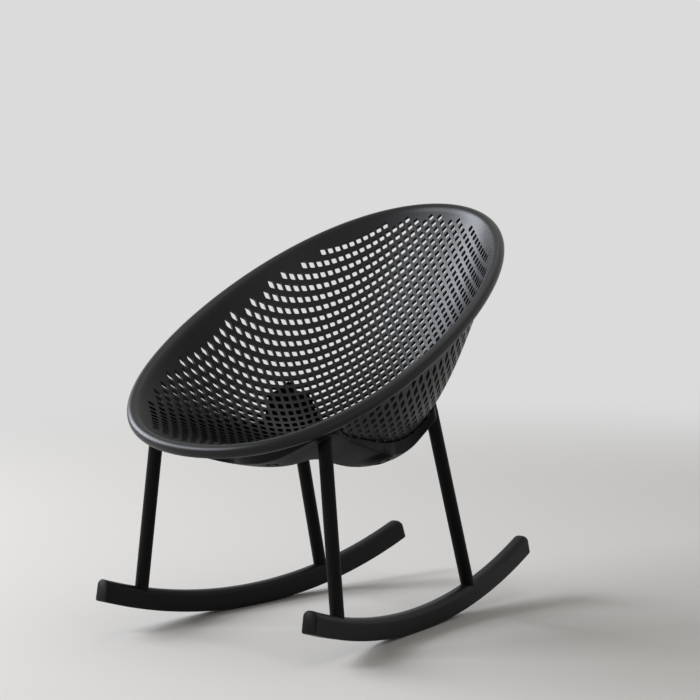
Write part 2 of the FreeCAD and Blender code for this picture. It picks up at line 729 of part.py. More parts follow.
def seat_mould():
    """Everything above a face inside the cradle's rails: it trims the posts."""
    near = size_of["shell_wall"] + size_of["cradle_gap"] + size_of["post_bury"]
    block = Part.makeBox(2 * grid_x - 20, 2 * grid_y - 20, ABOVE - BELOW, Vector(10 - grid_x, 10 - grid_y, BELOW))
    pieces = SplitAPI.slice(block, [bowl_face(even(near))], "Split").Solids
    return max(pieces, key=lambda piece: piece.CenterOfMass.z)


def local_feature(label, shape):
    obj = doc.addObject("Part::Feature", label)
    obj.Label = label
    obj.Shape = shape
    obj.Placement = seat_place
    return obj


def make_cradle():
    skin = local_feature("cradle_skin", cradle_skin())
    posts, spigots, cutters = [], [], []
    for name, side in SIDES:
        for end in ("front", "rear"):
            foot, up = leg_line(end, side)
            joint = level_on_leg(end, side, size_of["post_joint_level"])
            stem = "cradle_%s_%s" % (end, name)
            posts.append(add_cylinder(stem + "_post", "Sizes.leg_radius", "Sizes.post_reach", along(joint, up)))
            spigots.append(add_cylinder(stem + "_spigot", "Sizes.leg_bore_radius - Sizes.fit_gap",
                                        "Sizes.spigot_length + Sizes.leg_radius",
                                        along(joint - up * size_of["spigot_length"], up)))
            pin_point, rear = pin_line(end, side)
            cutters.append(add_cylinder(stem + "_pin_hole", "Sizes.pin_radius + Sizes.thread_gap",
                                        "Sizes.leg_radius", along(pin_point, rear)))
    for number, (x, y) in enumerate(BOSSES, start=1):
        foot, outward = normal_line(x, y)
        line = seat_place.multVec(foot), seat_place.Rotation.multVec(outward)
        cutters.append(add_cylinder("cradle_boss_hole_%d" % number, "Sizes.boss_radius + 2 * Sizes.fit_gap",
                                    "2 * Sizes.rail_depth", along(line[0] - line[1] * size_of["cradle_wall"], line[1])))
        cutters.append(add_cylinder("cradle_washer_spot_%d" % number,
                                    "Sizes.seat_washer_radius + Sizes.bolt_clearance", "2 * Sizes.rail_depth",
                                    along(line[0] + line[1] * spot_level(x, y), line[1])))
    corner_posts = add_cut("cradle_posts", add_fuse("cradle_post_blanks", posts),
                           local_feature("seat_mould", seat_mould()))
    whole = add_fuse("cradle_blank", [skin, corner_posts] + spigots)
    return add_cut("base_frame", whole, add_fuse("cradle_cutters", cutters))


cradle = make_cradle()


# Fasteners at the rockers: each bolt goes up from the sole through a washer into an insert.

def make_leg_joint(end, name, side):
    stem = "%s_%s" % (end, name)
    foot, up = leg_line(end, side)
    bottom = leg_seat(end, side)
    shelf = sole_point(end, side) + up * size_of["counterbore_depth"]
    face = shelf - up * size_of["washer_thickness"]
    insert = add_cut("leg_insert_" + stem,
                     add_cylinder("insert_blank_" + stem, "Sizes.insert_radius", "Sizes.leg_insert_length",
                                  along(bottom, up)),
                     add_cylinder("insert_bore_" + stem, "Sizes.bolt_radius + Sizes.thread_gap",
                                  "2 * Sizes.leg_insert_length", along(bottom - up * 5, up)))
    washer = add_cut("rocker_washer_" + stem,
                     add_cylinder("washer_blank_" + stem, "Sizes.washer_radius", "Sizes.washer_thickness",
                                  along(face, up)),
                     add_cylinder("washer_bore_" + stem, "Sizes.bolt_radius + Sizes.bolt_clearance",
                                  "3 * Sizes.washer_thickness", along(face - up * 2, up)))
    head = add_cylinder("bolt_head_" + stem, "Sizes.bolt_head_radius", "Sizes.bolt_head_height",
                        along(face - up * size_of["bolt_head_height"], up))
    shank = doc.addObject("Part::Cylinder", "bolt_shank_" + stem)
    bind(shank, Radius="Sizes.bolt_radius")
    shank.Height = (bottom - face).Length + size_of["bolt_grip"]
    shank.Placement = along(face, up)
    return insert, washer, add_fuse("rocker_bolt_" + stem, [head, shank])


def make_pin(end, name, side):
    stem = "%s_%s" % (end, name)
    point, rear = pin_line(end, side)
    face = point + rear * (size_of["leg_radius"] - size_of["pin_spot"])
    head = add_cylinder("pin_head_" + stem, "Sizes.pin_head_radius", "Sizes.pin_head_height", along(face, rear))
    shank = add_cylinder("pin_shank_" + stem, "Sizes.pin_radius", "Sizes.pin_length",
                         along(face - rear * size_of["pin_length"], rear))
    return add_fuse("spigot_screw_" + stem, [head, shank])


leg_joints = []
pins = []
for side_name, side_sign in SIDES:
    for leg_end in ("front", "rear"):
        leg_joints.append(make_leg_joint(leg_end, side_name, side_sign))
        pins.append(make_pin(leg_end, side_name, side_sign))


# Fasteners at the seat: a screw and washer under each boss, and an insert inside it.

def make_seat_joint(number, x, y):
    foot, outward = normal_line(x, y)
    origin, axis = seat_place.multVec(foot), seat_place.Rotation.multVec(outward)
    stem = "%d" % number
    spot, end = spot_level(x, y), boss_end(x, y)
    insert = add_cut("seat_insert_" + stem,
                     add_cylinder("seat_insert_blank_" + stem, "Sizes.insert_radius", "Sizes.seat_insert_length",
                                  along(origin + axis * (end - size_of["seat_insert_length"]), axis)),
                     add_cylinder("seat_insert_bore_" + stem, "Sizes.bolt_radius + Sizes.thread_gap",
                                  "3 * Sizes.seat_insert_length",
                                  along(origin + axis * (end - 2 * size_of["seat_insert_length"]), axis)))
    washer = add_cut("seat_washer_" + stem,
                     add_cylinder("seat_washer_blank_" + stem, "Sizes.seat_washer_radius", "Sizes.washer_thickness",
                                  along(origin + axis * spot, axis)),
                     add_cylinder("seat_washer_bore_" + stem, "Sizes.bolt_radius + Sizes.bolt_clearance",
                                  "3 * Sizes.washer_thickness",
                                  along(origin + axis * (spot - size_of["washer_thickness"]), axis)))
    face = spot + size_of["washer_thickness"]
    head = add_cylinder("seat_screw_head_" + stem, "Sizes.seat_head_radius", "Sizes.seat_head_height",
                        along(origin + axis * face, axis))
    shank = doc.addObject("Part::Cylinder", "seat_screw_shank_" + stem)
    bind(shank, Radius="Sizes.bolt_radius")
    tip = end - size_of["seat_insert_length"] + 1.0
    shank.Height = face - tip
    shank.Placement = along(origin + axis * tip, axis)
    return insert, washer, add_fuse("seat_screw_" + stem, [head, shank])


seat_joints = [make_seat_joint(number, x, y) for number, (x, y) in enumerate(BOSSES, start=1)]

groups = [
    add_group("leg_inserts", [joint[0] for joint in leg_joints]),
    add_group("rocker_washers", [joint[1] for joint in leg_joints]),
    add_group("rocker_bolts", [joint[2] for joint in leg_joints]),
    add_group("spigot_screws", pins),
    add_group("seat_inserts", [joint[0] for joint in seat_joints]),
    add_group("seat_washers", [joint[1] for joint in seat_joints]),
    add_group("seat_screws", [joint[2] for joint in seat_joints]),
]

doc.recompute()

for obj in doc.Objects:
    if "Invalid" in obj.State or "Error" in obj.State:
        raise RuntimeError("failed object " + obj.Label)

pieces = [seat, cradle] + list(legs.values()) + rockers + groups
for piece in pieces:
    if piece.Shape.isNull() or not piece.Shape.isValid():
        raise RuntimeError("bad shape " + piece.Label)

os.makedirs("parts", exist_ok=True)
for piece in pieces:
    piece.Shape.exportStep(os.path.join("parts", piece.Label + ".step"))
    box = piece.Shape.BoundBox
    print("%-18s %2d solids %9.0f mm3  x %.1f..%.1f  y %.1f..%.1f  z %.1f..%.1f" % (
        piece.Label, len(piece.Shape.Solids), piece.Shape.Volume,
        box.XMin, box.XMax, box.YMin, box.YMax, box.ZMin, box.ZMax))
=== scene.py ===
import math

import bmesh
import bpy
from mathutils import Matrix, Vector


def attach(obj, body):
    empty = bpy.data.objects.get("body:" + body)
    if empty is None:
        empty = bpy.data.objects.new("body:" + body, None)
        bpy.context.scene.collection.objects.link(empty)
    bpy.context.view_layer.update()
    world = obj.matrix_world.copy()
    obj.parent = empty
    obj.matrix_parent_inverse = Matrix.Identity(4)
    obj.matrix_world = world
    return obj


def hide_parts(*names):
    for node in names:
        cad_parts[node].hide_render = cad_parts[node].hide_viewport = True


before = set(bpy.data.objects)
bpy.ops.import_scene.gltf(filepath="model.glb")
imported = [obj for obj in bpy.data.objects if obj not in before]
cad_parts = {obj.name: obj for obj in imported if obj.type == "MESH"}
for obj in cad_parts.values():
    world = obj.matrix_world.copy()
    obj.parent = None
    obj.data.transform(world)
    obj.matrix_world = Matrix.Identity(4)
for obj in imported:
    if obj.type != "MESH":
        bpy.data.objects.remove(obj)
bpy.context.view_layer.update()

# Floor: a plain pale sheet under the chair. Its colour thins out with the distance from
# the chair, so that it runs into the pale background without a horizon.
FLOOR_REACH = 4.2
FLOOR_FADE_START = 1.3
FLOOR_TINT = (0.68, 0.645, 0.60, 1)
BACKGROUND = (0.71, 0.71, 0.71, 1)


def node(tree, kind, place, **settings):
    """One shader or geometry node at a place in the editor, with its settings."""
    made = tree.nodes.new(kind)
    made.location = place
    for name, value in settings.items():
        setattr(made, name, value)
    return made


def new_material(name):
    made = bpy.data.materials.new(name)
    made.use_nodes = True
    made.node_tree.nodes.clear()
    return made


def floor_material():
    made = new_material("pale_floor")
    tree = made.node_tree
    link = tree.links.new
    place = node(tree, "ShaderNodeTexCoord", (-900, 0))
    distance = node(tree, "ShaderNodeVectorMath", (-700, 0), operation="LENGTH")
    fade = node(tree, "ShaderNodeMapRange", (-500, 0), interpolation_type="SMOOTHERSTEP")
    fade.inputs["From Min"].default_value = FLOOR_FADE_START
    fade.inputs["From Max"].default_value = FLOOR_REACH * 0.97
    sheet = node(tree, "ShaderNodeBsdfPrincipled", (-300, 160))
    sheet.inputs["Base Color"].default_value = FLOOR_TINT
    sheet.inputs["Roughness"].default_value = 0.85
    clear = node(tree, "ShaderNodeBsdfTransparent", (-300, -260))
    mixed = node(tree, "ShaderNodeMixShader", (0, 0))
    out = node(tree, "ShaderNodeOutputMaterial", (200, 0))
    link(place.outputs["Object"], distance.inputs[0])
    link(distance.outputs["Value"], fade.inputs["Value"])
    link(fade.outputs["Result"], mixed.inputs["Fac"])
    link(sheet.outputs["BSDF"], mixed.inputs[1])
    link(clear.outputs["BSDF"], mixed.inputs[2])
    link(mixed.outputs["Shader"], out.inputs["Surface"])
    return made


floor_mesh = bpy.data.meshes.new("floor")
shape = bmesh.new()
bmesh.ops.create_circle(shape, cap_ends=True, segments=96, radius=FLOOR_REACH)
shape.to_mesh(floor_mesh)
shape.free()
floor_mesh.materials.append(floor_material())
floor = bpy.data.objects.new("floor", floor_mesh)
bpy.context.collection.objects.link(floor)

# Light: two big soft windows, left and front left of the chair, weak sheets above and on the
# right and a dim even surround. The background shows to the eye, in gloss and through glass.
world = bpy.data.worlds.new("pale_room")
bpy.context.scene.world = world
world.use_nodes = True
tree = world.node_tree
tree.nodes.clear()
seen = node(tree, "ShaderNodeBackground", (-200, 150))
seen.inputs["Color"].default_value = BACKGROUND
lit = node(tree, "ShaderNodeBackground", (-200, -50))
lit.inputs["Color"].default_value = (1, 1, 1, 1)
lit.inputs["Strength"].default_value = 0.24
rays = node(tree, "ShaderNodeLightPath", (-800, 350))
mirrored = node(tree, "ShaderNodeMath", (-600, 350), operation="ADD")
shown = node(tree, "ShaderNodeMath", (-400, 350), operation="ADD", use_clamp=True)
choose = node(tree, "ShaderNodeMixShader", (0, 0))
out = node(tree, "ShaderNodeOutputWorld", (200, 0))
tree.links.new(rays.outputs["Is Glossy Ray"], mirrored.inputs[0])
tree.links.new(rays.outputs["Is Transmission Ray"], mirrored.inputs[1])
tree.links.new(rays.outputs["Is Camera Ray"], shown.inputs[0])
tree.links.new(mirrored.outputs["Value"], shown.inputs[1])
tree.links.new(shown.outputs["Value"], choose.inputs["Fac"])
tree.links.new(lit.outputs["Background"], choose.inputs[1])
tree.links.new(seen.outputs["Background"], choose.inputs[2])
tree.links.new(choose.outputs["Shader"], out.inputs["Surface"])


def soft_lamp(name, place, target, width, height, power, colour):
    lamp = bpy.data.lights.new(name, "AREA")
    lamp.shape = "RECTANGLE"
    lamp.size = width
    lamp.size_y = height
    lamp.energy = power
    lamp.color = colour
    made = bpy.data.objects.new(name, lamp)
    made.location = place
    made.rotation_euler = (Vector(place) - Vector(target)).to_track_quat("Z", "Y").to_euler()
    bpy.context.collection.objects.link(made)


soft_lamp("window_left", (-6.0, -1.3, 3.2), (0, 0, 0.5), 4.4, 2.8, 430, (0.87, 0.92, 1.0))
soft_lamp("window_front", (-2.6, -3.3, 3.1), (0, 0, 0.5), 2.0, 1.6, 140, (0.89, 0.93, 1.0))
soft_lamp("ceiling", (0.3, 0.8, 3.4), (0, 0, 0.5), 3.0, 2.0, 14, (1, 1, 1))
soft_lamp("room_right", (3.2, -1.2, 1.8), (0, 0, 0.5), 2.2, 2.0, 5, (1, 0.985, 0.96))

# Camera: a long lens a little above the seat, to the right of the chair's front.
CAMERA_PLACE = Vector((2.94070, -3.89702, 1.00814))
CAMERA_TURN = math.radians(36.645)
CAMERA_DIP = math.radians(5.636)
camera = bpy.data.cameras.new("camera")
camera.sensor_width = 36.0
camera.lens = 129.535
camera_object = bpy.data.objects.new("camera", camera)
camera_object.location = CAMERA_PLACE
backwards = Vector((math.sin(CAMERA_TURN) * math.cos(CAMERA_DIP),
                    -math.cos(CAMERA_TURN) * math.cos(CAMERA_DIP), math.sin(CAMERA_DIP)))
camera_object.rotation_euler = backwards.to_track_quat("Z", "Y").to_euler()
bpy.context.collection.objects.link(camera_object)
bpy.context.scene.camera = camera_object
bpy.context.scene.view_settings.view_transform = "Standard"

# Rockers: two curved runners of black plastic, crowned on top and flat on the sole. Each has
# a bevelled front end, a rounded rear end, and holes for two legs and their bolts.
SOLE_RADIUS = 1.304
ROCKER_HEIGHT = 0.042
ROCKER_HALF_WIDTH = 0.015
ROCKER_CROWN = 0.012
ROCKER_SOLE_EDGE = 0.0015
ROCKER_NOSE = 0.019
ROCKER_FRONT = -math.radians(18.0)
ROCKER_REAR = math.radians(20.55)
ROCKER_TOE = math.radians(6.145)
ROCKER_HALF_GAUGE = 0.2052
ROCKER_STEPS = 84
BEVEL_STEPS = ((0, 0.0024), (0.0002, 0.0019), (0.0019, 0.0002), (0.0024, 0), (0.003, 0))
BEVEL_SOLE_EDGE = 0.003
ARC_START = 0.006
END_SOLE = 0.003
END_TOP = 0.009
END_REACH = 0.06
WORN_HEIGHT = 0.004
LEG_RADIUS = 0.01325
LEG_FOOT_LEVEL = 0.060
LEG_TOP_LEVEL = 0.350
LEGS = {"front": (-0.2998, 0.2048, -0.2909), "rear": (0.1980, 0.1726, 0.1092)}
SIDES = {"left": 1, "right": -1}
SOCKET_DEPTH = 0.026
SOCKET_RADIUS = LEG_RADIUS + 0.00015
RECESS_RADIUS = 0.009
RECESS_DEPTH = 0.008
BOLT_HOLE_RADIUS = 0.0033
CUTTER_PROUD = 0.02
SOCKET_CUT = 0.09
MERGE_REACH = 0.00001


def rocker_section(half_width, bottom, top, crown, sole_edge):
    """Closed outline of a cross-section as points (across, above the sole)."""
    right = [(0.0, bottom)]
    for step in range(5):
        turn = math.radians(-90 + 22.5 * step)
        right.append((half_width - sole_edge + sole_edge * math.cos(turn),
                      bottom + sole_edge + sole_edge * math.sin(turn)))
    right.append((half_width, bottom + WORN_HEIGHT))
    for step in range(13):
        turn = math.radians(7.5 * step)
        right.append((half_width - crown + crown * math.cos(turn), top - crown + crown * math.sin(turn)))
    right.append((0.0, top))
    return right + [(-across, above) for across, above in reversed(right[1:-1])]


def rocker_stations():
    """Cross-sections with their angles on the arc, from the bevelled end to the rounded one."""
    stations = []
    for back, inset in BEVEL_STEPS:
        stations.append((ROCKER_FRONT + back / SOLE_RADIUS, rocker_section(
            ROCKER_HALF_WIDTH - inset, inset, ROCKER_HEIGHT - inset, ROCKER_CROWN - inset, BEVEL_SOLE_EDGE)))
    start, end = ROCKER_FRONT + ARC_START / SOLE_RADIUS, ROCKER_REAR - ROCKER_NOSE / SOLE_RADIUS
    full = rocker_section(ROCKER_HALF_WIDTH, 0, ROCKER_HEIGHT, ROCKER_CROWN, ROCKER_SOLE_EDGE)
    stations += [(start + (end - start) * step / ROCKER_STEPS, full) for step in range(ROCKER_STEPS + 1)]
    for step in range(1, 13):
        left = ROCKER_NOSE * (1 - math.sin(math.radians(7.5 * step)))
        drop = ROCKER_NOSE - math.sqrt(ROCKER_NOSE ** 2 - (ROCKER_NOSE - left) ** 2)
        tuck = max(0.0, ROCKER_CROWN - left)
        narrow = ROCKER_CROWN - math.sqrt(ROCKER_CROWN ** 2 - tuck ** 2)
        stations.append((ROCKER_REAR - left / SOLE_RADIUS, rocker_section(
            ROCKER_HALF_WIDTH - narrow, 0, ROCKER_HEIGHT - drop, max(ROCKER_CROWN - narrow, 0.0006),
            max(ROCKER_SOLE_EDGE - narrow * 0.1, 0.0004))))
    return stations


def rocker_place(side):
    """Place of a rocker's own frame, toed in about the middle of its arc."""
    return Matrix.Translation((side * ROCKER_HALF_GAUGE, 0, 0)) @ Matrix.Rotation(side * ROCKER_TOE, 4, "Z")


def leg_line(end, side):
    """Foot point and upward direction of a leg's axis."""
    foot_y, top_x, top_y = LEGS[end]
    foot = Vector((side * (ROCKER_HALF_GAUGE - math.tan(ROCKER_TOE) * foot_y), foot_y, LEG_FOOT_LEVEL))
    top = Vector((side * top_x, top_y, LEG_TOP_LEVEL))
    return foot, (top - foot).normalized()


def arc_on_leg(end, side, radius):
    """Point where a leg's axis crosses the cylinder of a given radius about the rocker's hub."""
    foot, up = leg_line(end, side)
    across = Vector((math.cos(ROCKER_TOE), side * math.sin(ROCKER_TOE), 0))
    offset = foot - Vector((side * ROCKER_HALF_GAUGE, 0, SOLE_RADIUS))
    offset -= across * offset.dot(across)
    travel = up - across * up.dot(across)
    a, b, c = travel.dot(travel), 2 * offset.dot(travel), offset.dot(offset) - radius * radius
    return foot + up * ((-b - math.sqrt(b * b - 4 * a * c)) / (2 * a))


def turned(shape, profile, place, ring=False, segments=48):
    """Adds a solid turned about Z from (height, radius, hexagonal) stations, at a place."""
    rings = []
    for height, radius, hexagonal in profile:
        row = []
        for step in range(segments):
            turn = 2 * math.pi * step / segments
            flat = math.cos((turn + math.pi / 6) % (math.pi / 3) - math.pi / 6) if hexagonal else 1
            row.append(shape.verts.new(place @ Vector((radius / flat * math.cos(turn),
                                                       radius / flat * math.sin(turn), height))))
        rings.append(row)
    pairs = list(zip(rings, rings[1:] + (rings[:1] if ring else [])))
    for lower, upper in pairs:
        for step in range(segments):
            after = (step + 1) % segments
            shape.faces.new([lower[step], lower[after], upper[after], upper[step]])
    if not ring:
        shape.faces.new(list(reversed(rings[0])))
        shape.faces.new(rings[-1])


def on_line(point, direction):
    """Place whose Z axis is a line through a point."""
    return Matrix.Translation(point) @ direction.to_track_quat("Z", "Y").to_matrix().to_4x4()


def rocker_cutters(side):
    """The holes of one rocker as turned solids: bolt recess, bolt hole and leg socket."""
    shape = bmesh.new()
    for end in LEGS:
        up = leg_line(end, side)[1]
        sole = arc_on_leg(end, side, SOLE_RADIUS)
        top = arc_on_leg(end, side, SOLE_RADIUS - ROCKER_HEIGHT)
        seat_level = (top - sole).length - SOCKET_DEPTH
        stations = [(-CUTTER_PROUD, RECESS_RADIUS, False), (RECESS_DEPTH, RECESS_RADIUS, False),
                    (RECESS_DEPTH, BOLT_HOLE_RADIUS, False), (seat_level, BOLT_HOLE_RADIUS, False),
                    (seat_level, SOCKET_RADIUS, False),
                    (seat_level + SOCKET_CUT, SOCKET_RADIUS, False)]
        turned(shape, stations, on_line(sole, up))
    return loose_object("rocker_cutters", shape)


def loose_object(name, shape):
    """Turns a bmesh into a linked object for a modifier to work with."""
    bmesh.ops.recalc_face_normals(shape, faces=shape.faces)
    mesh = bpy.data.meshes.new(name)
    shape.to_mesh(mesh)
    shape.free()
    made = bpy.data.objects.new(name, mesh)
    bpy.context.collection.objects.link(made)
    return made


def solid_mesh(work):
    """Plain mesh of an object with its modifiers applied; the object itself goes."""
    bpy.context.view_layer.update()
    made = bpy.data.meshes.new_from_object(work.evaluated_get(bpy.context.evaluated_depsgraph_get()))
    bpy.data.objects.remove(work)
    return made


def rocker_mesh(side):
    """Runner swept through its cross-sections, its front end drawn upright, with its holes cut."""
    shape = bmesh.new()
    place = rocker_place(side)
    rings = []
    for angle, outline in rocker_stations():
        ring = []
        near_end = max(0.0, 1 - (angle - ROCKER_FRONT) * SOLE_RADIUS / END_REACH) ** 2
        for across, above in outline:
            forward = END_SOLE + (END_TOP - END_SOLE) * above / ROCKER_HEIGHT
            turn = angle - near_end * forward / SOLE_RADIUS
            arm = SOLE_RADIUS - above
            ring.append(shape.verts.new(place @ Vector((across, arm * math.sin(turn),
                                                        SOLE_RADIUS - arm * math.cos(turn)))))
        rings.append(ring)
    for lower, upper in zip(rings, rings[1:]):
        for number in range(len(lower)):
            after = (number + 1) % len(lower)
            shape.faces.new([lower[number], lower[after], upper[after], upper[number]])
    shape.faces.new(rings[0])
    shape.faces.new(list(reversed(rings[-1])))
    bmesh.ops.remove_doubles(shape, verts=shape.verts, dist=MERGE_REACH)
    work = loose_object("rocker_blank", shape)
    cutters = rocker_cutters(side)
    holes = work.modifiers.new("holes", "BOOLEAN")
    holes.operation = "DIFFERENCE"
    holes.solver = "EXACT"
    holes.object = cutters
    mesh = solid_mesh(work)
    bpy.data.objects.remove(cutters)
    worn = mesh.attributes.new("worn", "FLOAT", "POINT")
    inverse = place.inverted()
    for number, vertex in enumerate(mesh.vertices):
        local = inverse @ vertex.co
        above = SOLE_RADIUS - math.hypot(local.y, local.z - SOLE_RADIUS)
        worn.data[number].value = max(0.0, 1 - above / WORN_HEIGHT)
    return mesh


def smooth_by_angle(mesh, degrees):
    mesh.polygons.foreach_set("use_smooth", [True] * len(mesh.polygons))
    mesh.set_sharp_from_angle(angle=math.radians(degrees))


def fit_piece(name, mesh, material, replaced, sharp=32):
    """Makes a mesh a visible piece of the chair that stands for CAD nodes."""
    mesh.name = name
    mesh.materials.clear()
    mesh.materials.append(material)
    smooth_by_angle(mesh, sharp)
    piece = bpy.data.objects.new(name, mesh)
    bpy.context.collection.objects.link(piece)
    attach(piece, "root")
    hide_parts(*replaced)
    return piece


def moulded_black(name, colour, roughness, gleam, grain, worn=False):
    """Black plastic with a fine moulded grain, faint cloudy gloss and paler worn places."""
    made = new_material(name)
    tree = made.node_tree
    link = tree.links.new
    place = node(tree, "ShaderNodeTexCoord", (-1200, 0))
    cloud = node(tree, "ShaderNodeTexNoise", (-950, 200))
    cloud.inputs["Scale"].default_value = 7.0
    cloud.inputs["Detail"].default_value = 3.0
    gloss = node(tree, "ShaderNodeMapRange", (-700, 200))
    gloss.inputs["To Min"].default_value = roughness - 0.05
    gloss.inputs["To Max"].default_value = roughness + 0.06
    tint = node(tree, "ShaderNodeMix", (-450, 380), data_type="RGBA")
    tint.inputs["A"].default_value = (*[c * 0.88 for c in colour], 1)
    tint.inputs["B"].default_value = (*[c * 1.12 for c in colour], 1)
    pores = node(tree, "ShaderNodeTexNoise", (-950, -100))
    pores.inputs["Scale"].default_value = grain
    pores.inputs["Detail"].default_value = 2.0
    relief = node(tree, "ShaderNodeBump", (-450, -200))
    relief.inputs["Strength"].default_value = 0.12
    relief.inputs["Distance"].default_value = 0.0004
    plastic = node(tree, "ShaderNodeBsdfPrincipled", (-50, 0))
    plastic.inputs["IOR"].default_value = 1.5
    plastic.inputs["Specular IOR Level"].default_value = gleam
    out = node(tree, "ShaderNodeOutputMaterial", (250, 0))
    link(place.outputs["Object"], cloud.inputs["Vector"])
    link(place.outputs["Object"], pores.inputs["Vector"])
    link(cloud.outputs["Fac"], gloss.inputs["Value"])
    link(cloud.outputs["Fac"], tint.inputs["Factor"])
    link(pores.outputs["Fac"], relief.inputs["Height"])
    link(gloss.outputs["Result"], plastic.inputs["Roughness"])
    link(relief.outputs["Normal"], plastic.inputs["Normal"])
    link(plastic.outputs["BSDF"], out.inputs["Surface"])
    if not worn:
        link(tint.outputs["Result"], plastic.inputs["Base Color"])
        return made
    near_sole = node(tree, "ShaderNodeAttribute", (-950, 650), attribute_name="worn")
    scuffs = node(tree, "ShaderNodeTexNoise", (-950, 850))
    scuffs.inputs["Scale"].default_value = 160.0
    scuffs.inputs["Detail"].default_value = 4.0
    patchy = node(tree, "ShaderNodeMapRange", (-700, 850))
    patchy.inputs["From Min"].default_value = 0.45
    patchy.inputs["From Max"].default_value = 0.75
    share = node(tree, "ShaderNodeMath", (-450, 700), operation="MULTIPLY")
    scuffed = node(tree, "ShaderNodeMix", (-250, 450), data_type="RGBA")
    scuffed.inputs["B"].default_value = (0.06, 0.058, 0.055, 1)
    link(place.outputs["Object"], scuffs.inputs["Vector"])
    link(scuffs.outputs["Fac"], patchy.inputs["Value"])
    link(patchy.outputs["Result"], share.inputs[0])
    link(near_sole.outputs["Fac"], share.inputs[1])
    link(share.outputs["Value"], scuffed.inputs["Factor"])
    link(tint.outputs["Result"], scuffed.inputs["A"])
    link(scuffed.outputs["Result"], plastic.inputs["Base Color"])
    return made


rocker_black = moulded_black("rocker_black", (0.0040, 0.0040, 0.0043), 0.42, 0.14, 1100.0, worn=True)
for side_name, side in SIDES.items():
    name = "rocker_" + side_name
    fit_piece(name + "_runner", rocker_mesh(side), rocker_black, (name,))

# Rocker bolts: steel cap bolts with a hexagon socket, sunk in the sole, one up into each leg.
# A plain washer lies under each head, and a brass insert in the leg's foot takes the thread.
WASHER_THICKNESS = 0.0016
BOLT_RADIUS = 0.003
BOLT_HEAD_RADIUS = 0.005
BOLT_HEAD_HEIGHT = 0.005
BOLT_GRIP = 0.015
BOLT_SOCKET = 0.0025
BOLT_EDGE = 0.0004


def metal(name, colour, roughness, streaks):
    """Plated or bare metal with fine turning marks and a cloudy sheen."""
    made = new_material(name)
    tree = made.node_tree
    link = tree.links.new
    place = node(tree, "ShaderNodeTexCoord", (-1000, 0))
    marks = node(tree, "ShaderNodeTexNoise", (-750, 100))
    marks.inputs["Scale"].default_value = streaks
    marks.inputs["Detail"].default_value = 3.0
    gloss = node(tree, "ShaderNodeMapRange", (-500, 0))
    gloss.inputs["To Min"].default_value = roughness - 0.08
    gloss.inputs["To Max"].default_value = roughness + 0.1
    tint = node(tree, "ShaderNodeMix", (-500, 300), data_type="RGBA")
    tint.inputs["A"].default_value = (*[c * 0.85 for c in colour], 1)
    tint.inputs["B"].default_value = (*colour, 1)
    skin = node(tree, "ShaderNodeBsdfPrincipled", (-200, 0))
    skin.inputs["Metallic"].default_value = 1.0
    out = node(tree, "ShaderNodeOutputMaterial", (100, 0))
    link(place.outputs["Object"], marks.inputs["Vector"])
    link(marks.outputs["Fac"], gloss.inputs["Value"])
    link(marks.outputs["Fac"], tint.inputs["Factor"])
    link(tint.outputs["Result"], skin.inputs["Base Color"])
    link(gloss.outputs["Result"], skin.inputs["Roughness"])
    link(skin.outputs["BSDF"], out.inputs["Surface"])
    return made


def dress_node(name, material):
    """Gives a CAD node that stays visible its finish."""
    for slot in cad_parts[name].material_slots:
        slot.material = material


def fastener_tree():
    """One fastener on every seat point, its own Z axis along the direction kept there."""
    tree = bpy.data.node_groups.new("fasteners", "GeometryNodeTree")
    face = tree.interface
    for name, kind in (("Fastener", "NodeSocketObject"), ("Seats", "NodeSocketObject"),
                       ("Finish", "NodeSocketMaterial")):
        face.new_socket(name, in_out="INPUT", socket_type=kind)
    face.new_socket("Geometry", in_out="OUTPUT", socket_type="NodeSocketGeometry")
    link = tree.links.new
    given = node(tree, "NodeGroupInput", (-900, 0))
    one = node(tree, "GeometryNodeObjectInfo", (-700, 200))
    seats = node(tree, "GeometryNodeObjectInfo", (-700, -100))
    axis = node(tree, "GeometryNodeInputNamedAttribute", (-700, -350), data_type="FLOAT_VECTOR")
    axis.inputs["Name"].default_value = "axis"
    turn = node(tree, "FunctionNodeAlignRotationToVector", (-450, -300), axis="Z")
    placed = node(tree, "GeometryNodeInstanceOnPoints", (-250, 0))
    real = node(tree, "GeometryNodeRealizeInstances", (-50, 0))
    finish = node(tree, "GeometryNodeSetMaterial", (150, 0))
    result = node(tree, "NodeGroupOutput", (350, 0))
    link(given.outputs["Fastener"], one.inputs["Object"])
    link(given.outputs["Seats"], seats.inputs["Object"])
    link(seats.outputs["Geometry"], placed.inputs["Points"])
    link(one.outputs["Geometry"], placed.inputs["Instance"])
    link(axis.outputs["Attribute"], turn.inputs["Vector"])
    link(turn.outputs["Rotation"], placed.inputs["Rotation"])
    link(placed.outputs["Instances"], real.inputs["Geometry"])
    link(real.outputs["Geometry"], finish.inputs["Geometry"])
    link(given.outputs["Finish"], finish.inputs["Material"])
    link(finish.outputs["Geometry"], result.inputs["Geometry"])
    return tree


def grow(tree, name, **inputs):
    """Evaluates a geometry tree on an empty mesh and returns the result as a plain mesh."""
    host = bpy.data.objects.new(name + "_host", bpy.data.meshes.new(name + "_host"))
    bpy.context.collection.objects.link(host)
    modifier = host.modifiers.new("shape", "NODES")
    modifier.node_group = tree
    sockets = {item.name: item.identifier for item in tree.interface.items_tree
               if item.item_type == "SOCKET" and item.in_out == "INPUT"}
    for key, value in inputs.items():
        modifier[sockets[key.replace("_", " ")]] = value
    return solid_mesh(host)


def seats_object(seats):
    """Loose points with the direction in which a fastener stands on each."""
    mesh = bpy.data.meshes.new("seats")
    mesh.from_pydata([point for point, direction in seats], [], [])
    axis = mesh.attributes.new("axis", "FLOAT_VECTOR", "POINT")
    for number, (point, direction) in enumerate(seats):
        axis.data[number].vector = direction
    made = bpy.data.objects.new("seats", mesh)
    bpy.context.collection.objects.link(made)
    return made


